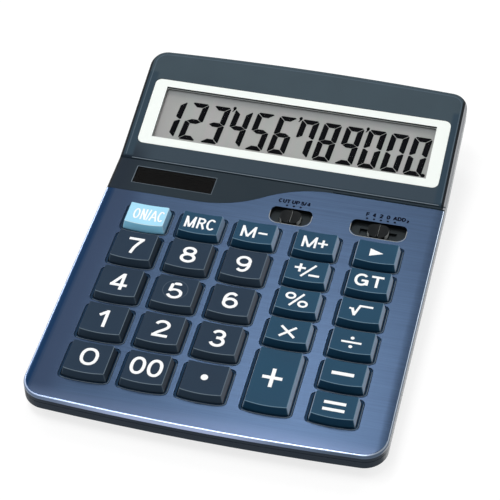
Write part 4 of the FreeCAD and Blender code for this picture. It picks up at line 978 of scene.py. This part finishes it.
# %% Light along the key collars
HIGHLIGHT_GREY = plastic("highlight_grey", (92, 104, 114), (100, 112, 122), (0.4, 0.5), shine=0.2)
HIGHLIGHT_PALE = plastic("highlight_pale", (146, 148, 146), (156, 158, 156), (0.4, 0.5), shine=0.2)
HAIRLINE, BROAD_LINE, FINE_LINE = 0.24, 0.3, 0.2
COLUMNS = (-45.8, -24.0, -2.2, 21.8, 45.8)
FIRST_ROW, NUMBER_STEP, FUNCTION_STEP = 11.3, 19.3, 15.33
NUMBER_LENGTH, FUNCTION_LENGTH, HALF_OPENING = 17.8, 14.5, 9.875
RIM_INSET, RIM_BOW, RIM_ROUND, COLLAR_DROP = 0.42, 0.75, 1.6, 0.2
RIM_REAR_STOP, RIM_LEFT_STOP = 1.5, 0.8

openings = [(COLUMNS[c], FIRST_ROW + r * NUMBER_STEP, NUMBER_LENGTH) for c in range(3) for r in range(4)]
openings += [(COLUMNS[4], FIRST_ROW + r * FUNCTION_STEP, FUNCTION_LENGTH) for r in range(5)]
openings += [(COLUMNS[3], FIRST_ROW + r * FUNCTION_STEP, FUNCTION_LENGTH) for r in range(2, 5)]
openings += [(COLUMNS[3], FIRST_ROW, FUNCTION_STEP + FUNCTION_LENGTH)]
openings += [(x, FIRST_ROW + 5 * FUNCTION_STEP, FUNCTION_LENGTH) for x in COLUMNS]
lines = []
for x, front, length in openings:
    right, left = x + HALF_OPENING - RIM_INSET, x - HALF_OPENING + RIM_INSET
    foot = front + RIM_INSET
    turn_y = foot + RIM_BOW + RIM_ROUND
    line = [(right, front + length - RIM_REAR_STOP), (right, front + length / 2), (right, turn_y)]
    line += bend(right - RIM_ROUND, turn_y, RIM_ROUND, RIM_ROUND, -10, -80, 5)
    for share in (0.75, 0.5, 0.0, -0.5, -0.75):
        line.append((x + share * HALF_OPENING, foot + RIM_BOW * share ** 2))
    line.append((left + RIM_LEFT_STOP, foot + RIM_BOW))
    lines.append((line, HAIRLINE))
# Painted highlights along the right and front of each collar.
printed("collar_highlights", lines, deck, -COLLAR_DROP, "case", HIGHLIGHT_GREY)
print("collar lines:", len(lines))

# %% [markdown]
# The slots' painted highlight lines run round their front and sides, just outside the opening. The
# window's painted highlight lines are four strokes, the lit ones a little broader.

# %% Light along the slots and the small window
SLOT_FRONT, SLOT_REAR, SLOT_CORNER, SLOT_REAR_STOP, SLOT_OUTSET = 105.62, 114.5, 3.6, 2.5, 0.08
SLOT_SIDES = ((0.3, 16.9), (32.6, 54.6))
WINDOW_LEFT, WINDOW_RIGHT, WINDOW_FRONT, WINDOW_REAR = -58.2, -25.0, 115.1, 124.6

slot_lines = []
for left, right in SLOT_SIDES:
    outer_left, outer_right, turn_y = left - SLOT_OUTSET, right + SLOT_OUTSET, SLOT_FRONT + SLOT_CORNER
    line = [(outer_right, SLOT_REAR - SLOT_REAR_STOP), (outer_right, turn_y)]
    line += bend(outer_right - SLOT_CORNER, turn_y, SLOT_CORNER, SLOT_CORNER, -10, -90, 8)
    line += [((left + right) / 2, SLOT_FRONT)]
    line += bend(outer_left + SLOT_CORNER, turn_y, SLOT_CORNER, SLOT_CORNER, 270, 190, 8)
    line += [(outer_left, SLOT_REAR - SLOT_REAR_STOP)]
    slot_lines.append((line, HAIRLINE))
printed("slot_highlights", slot_lines, deck, 0.0, "case", HIGHLIGHT_PALE)
window_rim = [bar(WINDOW_LEFT, WINDOW_RIGHT, WINDOW_REAR, BROAD_LINE),
              bar(WINDOW_LEFT, WINDOW_RIGHT, WINDOW_FRONT, FINE_LINE),
              pole(WINDOW_LEFT, WINDOW_FRONT, WINDOW_REAR, BROAD_LINE),
              pole(WINDOW_RIGHT, WINDOW_FRONT, WINDOW_REAR, FINE_LINE)]
printed("solar_window_highlights", window_rim, deck, 0.0, "case", HIGHLIGHT_GREY)
print("slot and window lines:", len(slot_lines), len(window_rim))

# %% [markdown]
# The head has a painted bright line where it leaves the deck, and another along the rounded rim of its
# sides and rear. That rim rolls down at the sides, so the second line sinks with it. Its path is worked out
# from the case's width and its bowed rear end, because points picked by eye would float off the surface in
# a view from behind.

# %% Light along the head
CREASE_LEFT, CREASE_RIGHT, CREASE_OFFSET, CREASE_LINE, BEVEL_LINE = -62.0, 64.2, 0.3, 0.42, 0.5
HALF_WIDTH, ROLL_WIDTH, ROLL_RADIUS, REAR_BOW, REAR_CORNER, BEVEL = 67.2, 4.0, 25.0, 1.45, 7.0, 2.3
SIDE_START, SIDE_MIDDLE = 1.5, 25


def rolled_under(x, y):
    """How far the case's rolled sides lie under the flat of the head."""
    return max(abs(x) - HALF_WIDTH + ROLL_WIDTH, 0.0) ** 2 / (2 * ROLL_RADIUS)


def rear_line(x):
    """The rear end of the head along its slope, a shallow bow."""
    behind = CAD_BOX[1].y / MM - REAR_BOW * (x / HALF_WIDTH) ** 2 - crease.y
    return behind / math.cos(math.radians(HEAD_SLOPE))


side_x, small_round = HALF_WIDTH - BEVEL, REAR_CORNER - BEVEL
corner_x, corner_y = side_x - small_round, rear_line(HALF_WIDTH - REAR_CORNER) - BEVEL - small_round
bevel = [(-side_x, SIDE_START), (-side_x, SIDE_MIDDLE)]
bevel += bend(-corner_x, corner_y, small_round, small_round, 175, 100, 6)
bevel += [(x, rear_line(x) - BEVEL) for x in (-55, -28, 0, 28, 55)]
bevel += bend(corner_x, corner_y, small_round, small_round, 80, 5, 6)
bevel += [(side_x, SIDE_MIDDLE), (side_x, SIDE_START)]
# Painted highlights along the crease and along the rim of the head.
crease_line = bar(CREASE_LEFT, CREASE_RIGHT, CREASE_OFFSET, CREASE_LINE)
printed("crease_edge", [crease_line], head, 0.0, "case", HIGHLIGHT_GREY)
BEVEL_HIGHLIGHT = plastic("bevel_highlight", (66, 82, 94), (72, 88, 100), (0.4, 0.5), shine=0.15)
printed("head_bevel_highlight", [(bevel, BEVEL_LINE)], head, 0.0, "case", BEVEL_HIGHLIGHT, rolled_under)
print("points of the rim's line:", len(bevel))

# %% [markdown]
# The display's figures are made of seven bars each, with slanting joints and a slight lean. They are dark
# films in the glass of the panel, so each is a thin flat shape just over the panel's face.

# %% Display figures
CELL_WIDTH = 7.4
CELL_HEIGHT = 19.0
BAR = 2.2
UPRIGHT = 2.4
LEAN = 0.095
LAST_CELL = 46.9
CELL_PITCH = 9.375
CELL_RISE = 0.035
DIGIT_BOTTOM = 13.95
FILM = 0.04

HALF = CELL_HEIGHT / 2
IN, OUT = UPRIGHT + 0.1, CELL_WIDTH - UPRIGHT - 0.1
TOP_BAR = [(0.45, CELL_HEIGHT - 0.42), (0.85, CELL_HEIGHT), (CELL_WIDTH - 0.85, CELL_HEIGHT),
           (CELL_WIDTH - 0.45, CELL_HEIGHT - 0.42), (OUT, CELL_HEIGHT - BAR), (IN, CELL_HEIGHT - BAR)]
LEFT_BAR = [(0.0, HALF + 0.45), (0.35, HALF + 0.2), (0.75, HALF + 0.2), (UPRIGHT, HALF + BAR / 2 + 0.15),
            (UPRIGHT, CELL_HEIGHT - BAR - 0.25), (0.3, CELL_HEIGHT - 0.62), (0.0, CELL_HEIGHT - 1.0)]
MIDDLE_BAR = [(0.75, HALF), (IN, HALF + BAR / 2), (OUT, HALF + BAR / 2), (CELL_WIDTH - 0.75, HALF),
              (OUT, HALF - BAR / 2), (IN, HALF - BAR / 2)]


def other_side(outline):
    """A bar mirrored to the right of its cell."""
    return [(CELL_WIDTH - x, y) for x, y in outline]


def other_end(outline):
    """A bar mirrored to the foot of its cell."""
    return [(x, CELL_HEIGHT - y) for x, y in outline]


BARS = {"a": TOP_BAR, "b": other_side(LEFT_BAR), "c": other_end(other_side(LEFT_BAR)),
        "d": other_end(TOP_BAR), "e": other_end(LEFT_BAR), "f": LEFT_BAR, "g": MIDDLE_BAR}
FIGURES = {"1": "bc", "2": "abged", "3": "abgcd", "4": "fgbc", "5": "afgcd", "6": "afgedc", "7": "fabc",
           "8": "abcdefg", "9": "abcdfg", "0": "abcdef"}
COMMA = [(7.95, 19.1), (8.15, 19.7), (8.6, 19.95), (9.15, 19.75), (9.4, 19.15), (9.2, 18.4), (8.4, 17.2),
         (8.05, 17.35), (8.35, 18.3)]
READING = "123456789000"
COMMAS_AFTER = (2, 5, 8)
POINT_X, POINT_RISE, POINT_ACROSS, POINT_UP = 55.1, 0.75, 0.95, 0.85

shapes = []
for index, figure in enumerate(READING):
    places = len(READING) - 1 - index
    left, foot = LAST_CELL - CELL_PITCH * places, DIGIT_BOTTOM + CELL_RISE * places
    for outline in [BARS[b] for b in FIGURES[figure]] + ([COMMA] if index in COMMAS_AFTER else []):
        shapes.append([(left + x + LEAN * y, foot + y) for x, y in outline])
shapes.append(bend(POINT_X, DIGIT_BOTTOM + POINT_RISE, POINT_ACROSS, POINT_UP, 0, 345, 23))
FILM_BLACK = plastic("display_film", (15, 16, 18), (20, 21, 23), (0.35, 0.45), 0.0000005, 4000.0, shine=0.0)
flat_shape("display_figures", shapes, head, PANEL_TOP + FILM * 2, FILM, "case", FILM_BLACK)
print("display bars:", len(shapes))

# %% [markdown]
# The lens is clear, with a white border painted under its face, and a grey strip of painted shade where
# the paint ends. A separate white frame round the window would look alike from the front but has an edge
# that the real one lacks. So the border is four flat shapes just inside the lens, and the painted shade two
# narrow strips near its underside, along the rear and the left of the window.

# %% White border painted in the lens
LENS_HALF, LENS_FRONT, LENS_REAR, LENS_TOP, LENS_FOOT = 62.28, 8.12, 40.98, -0.05, -1.25
VIEW_FRONT, PAINT_ROUND, PAINT_FILM = 11.9, 2.6, 0.02
SHADE_SIDE, SHADE_DEPTH, SHADE_RISE = 0.6, 1.0, 0.04


def corner(x, y, start):
    """A quarter circle of paint outline round a centre."""
    return bend(x, y, PAINT_ROUND, PAINT_ROUND, start, start + 90, 8)


inner_x, low_y, high_y = LENS_HALF - PAINT_ROUND, LENS_FRONT + PAINT_ROUND, LENS_REAR - PAINT_ROUND
paint = [
    corner(-inner_x, low_y, 180) + corner(inner_x, low_y, 270)
    + [(LENS_HALF, VIEW_FRONT), (-LENS_HALF, VIEW_FRONT)],
    corner(inner_x, high_y, 0) + corner(-inner_x, high_y, 90)
    + [(-LENS_HALF, VIEW_TOP), (LENS_HALF, VIEW_TOP)],
]


def rectangle(left, right, front, rear):
    """The four corners of a flat strip."""
    return [(left, front), (right, front), (right, rear), (left, rear)]


for left, right in ((-LENS_HALF, VIEW_LEFT), (-VIEW_LEFT, LENS_HALF)):
    paint.append(rectangle(left, right, VIEW_FRONT, VIEW_TOP))
flat_shape("lens_paint", paint, head, LENS_TOP - PAINT_FILM, PAINT_FILM, "case", FINISHES["surround"])
# Painted shade: two grey strips near the lens's underside, along the rear and the left of the window.
shade_left = VIEW_LEFT - SHADE_SIDE
lens_shade = [rectangle(shade_left, -VIEW_LEFT, VIEW_TOP, VIEW_TOP + SHADE_DEPTH),
       rectangle(shade_left, VIEW_LEFT, VIEW_FRONT, VIEW_TOP)]
LENS_SHADE_GREY = plastic("lens_shade_grey", (62, 66, 70), (68, 72, 76), (0.5, 0.6), 0.0000005, shine=0.1)
flat_shape("lens_painted_shade", lens_shade, head, LENS_FOOT + SHADE_RISE, PAINT_FILM, "case", LENS_SHADE_GREY)
print("paint areas:", len(paint) + len(lens_shade))

# %% [markdown]
# Under each switch's slot lies a thin shutter that slides with the knob and keeps dust out. It is a flat
# strip just under the deck, so it rides on the knob's body. A wider knob would hide the slot too, but the
# photograph shows a small one.

# %% Dust shutters of the switches
SHUTTER_HEIGHT, SHUTTER_THICKNESS, SHUTTER_HALF_DEPTH, SLOT_MIDDLE = -2.84, 0.06, 1.9, 110.1
SHUTTERS = {"rounding_switch": (8.6, 7.4), "decimal_switch": (43.6, 11.4)}
for body, (middle, half) in SHUTTERS.items():
    front, rear = SLOT_MIDDLE - SHUTTER_HALF_DEPTH, SLOT_MIDDLE + SHUTTER_HALF_DEPTH
    strip = rectangle(middle - half, middle + half, front, rear)
    flat_shape(body + "_shutter", [strip], deck, SHUTTER_HEIGHT, SHUTTER_THICKNESS, body,
               FINISHES["housing"])
print("shutters:", len(SHUTTERS))

# %% [markdown]
# Under the keys lies a moulded rubber keypad: a sheet with a dome under each key, which gives way when the
# key is pressed. Each dome's place is the middle of its key's opening, so it comes from the columns and
# rows above.

# %% Places of the domes
NUMBER_ROWS = (("key_0", "key_00", "key_point"), ("key_1", "key_2", "key_3"),
               ("key_4", "key_5", "key_6"), ("key_7", "key_8", "key_9"))
FUNCTION_KEYS = {
    3: {2: "key_multiply", 3: "key_percent", 4: "key_sign", 5: "key_memory_add"},
    4: {0: "key_equals", 1: "key_subtract", 2: "key_divide", 3: "key_root", 4: "key_grand_total",
        5: "key_step_back"},
    0: {5: "key_on_clear"},
    1: {5: "key_memory_recall"},
    2: {5: "key_memory_subtract"},
}
number_middle, function_middle = FIRST_ROW + NUMBER_LENGTH / 2, FIRST_ROW + FUNCTION_LENGTH / 2
DOME_PLACES = {"key_add": (COLUMNS[3], function_middle + FUNCTION_STEP / 2)}
for level, names in enumerate(NUMBER_ROWS):
    for column, name in zip(COLUMNS, names):
        DOME_PLACES[name] = (column, number_middle + level * NUMBER_STEP)
for column, names in FUNCTION_KEYS.items():
    for level, name in names.items():
        DOME_PLACES[name] = (COLUMNS[column], function_middle + level * FUNCTION_STEP)
print("dome places:", len(DOME_PLACES))

# %% [markdown]
# The sheet and each dome are separate pieces. The sheet is an outline with two holes for the case's posts,
# filled with triangles and given its thickness.

# %% Rubber sheet
SHEET_TOP, SHEET_UNDER, SHEET_HALF, SHEET_FRONT, SHEET_REAR = -6.2, -6.8, 55.2, 12.3, 102.95
POST_HOLES, POST_HOLE_RADIUS, POST_HOLE_CORNERS = ((9.8, 56.875), (33.8, 56.875)), 2.1, 24

loops = [rectangle(-SHEET_HALF, SHEET_HALF, SHEET_FRONT, SHEET_REAR)]
for x, y in POST_HOLES:
    turns = [math.tau * step / POST_HOLE_CORNERS for step in range(POST_HOLE_CORNERS)]
    loops.append([(x + POST_HOLE_RADIUS * math.cos(a), y + POST_HOLE_RADIUS * math.sin(a)) for a in turns])
work = bmesh.new()
for loop in loops:
    corners = [work.verts.new((x, y, SHEET_UNDER)) for x, y in loop]
    for first, second in zip(corners, corners[1:] + corners[:1]):
        work.edges.new((first, second))
bmesh.ops.triangle_fill(work, use_beauty=True, edges=work.edges)
raised = bmesh.ops.extrude_face_region(work, geom=work.faces[:])
moved = [v for v in raised["geom"] if isinstance(v, bmesh.types.BMVert)]
bmesh.ops.translate(work, verts=moved, vec=(0, 0, SHEET_TOP - SHEET_UNDER))
bmesh.ops.recalc_face_normals(work, faces=work.faces)
rubber_sheet = finished_piece("rubber_sheet", work, deck, "case", FINISHES["keypad"])
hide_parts("rubber_keypad")
print("sheet triangles:", len(rubber_sheet.data.polygons))

# %% [markdown]
# A dome is a short profile spun round its axis. A sphere cut in half would be quicker, but the real dome
# has a straight cone and a flat crown that carries the key.

# %% Domes under the keys
DOME_PROFILE = ((0, -0.05), (4.5, -0.05), (4.28, 0.25), (2.88, 1.9), (2.64, 2.15), (2.4, 2.25), (0, 2.25))
DOME_KEPT, DOME_STEPS, WELD = 0.08, 32, 0.001

for key, (x, y) in DOME_PLACES.items():
    work = bmesh.new()
    profile = [work.verts.new((radius, 0, height)) for radius, height in DOME_PROFILE]
    edges = [work.edges.new(pair) for pair in zip(profile, profile[1:])]
    bmesh.ops.spin(work, geom=profile + edges, axis=(0, 0, 1), cent=(0, 0, 0), angle=math.tau,
                   steps=DOME_STEPS)
    bmesh.ops.remove_doubles(work, verts=work.verts, dist=WELD)
    bmesh.ops.recalc_face_normals(work, faces=work.faces)
    place = deck @ Matrix.Translation((x, y, SHEET_TOP))
    dome = finished_piece(key + "_dome", work, place, "case", FINISHES["keypad"])
    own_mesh(dome)
print("domes:", len(DOME_PLACES))

# %% [markdown]
# The table is a plain pale surface. It is a little brighter where it is seen than where it is lit, so that
# it reads as a white sheet and still keeps the object's soft shadow.

# %% Table
TABLE_SIZE = 6.0
TABLE_GLOW = 0.76
TABLE_GREY = 0.28

work = bmesh.new()
bmesh.ops.create_grid(work, x_segments=1, y_segments=1, size=TABLE_SIZE)
table_mesh = bpy.data.meshes.new("table")
work.to_mesh(table_mesh)
work.free()
table_finish, tree, shader = material("table_white")
shader.inputs["Base Color"].default_value = (TABLE_GREY, TABLE_GREY, TABLE_GREY, 1)
shader.inputs["Roughness"].default_value = 0.9
shader.inputs["Specular IOR Level"].default_value = 0.0
glow = tree.nodes.new("ShaderNodeEmission")
tree.links.new(maths(tree, "MULTIPLY", white_where_seen(tree), TABLE_GLOW), glow.inputs["Strength"])
lit_and_glowing = tree.nodes.new("ShaderNodeAddShader")
tree.links.new(shader.outputs[0], lit_and_glowing.inputs[0])
tree.links.new(glow.outputs[0], lit_and_glowing.inputs[1])
tree.links.new(lit_and_glowing.outputs[0], tree.nodes["Material Output"].inputs["Surface"])
table_mesh.materials.append(table_finish)
table = bpy.data.objects.new("table", table_mesh)
bpy.context.scene.collection.objects.link(table)
print("table size in m:", TABLE_SIZE * 2)
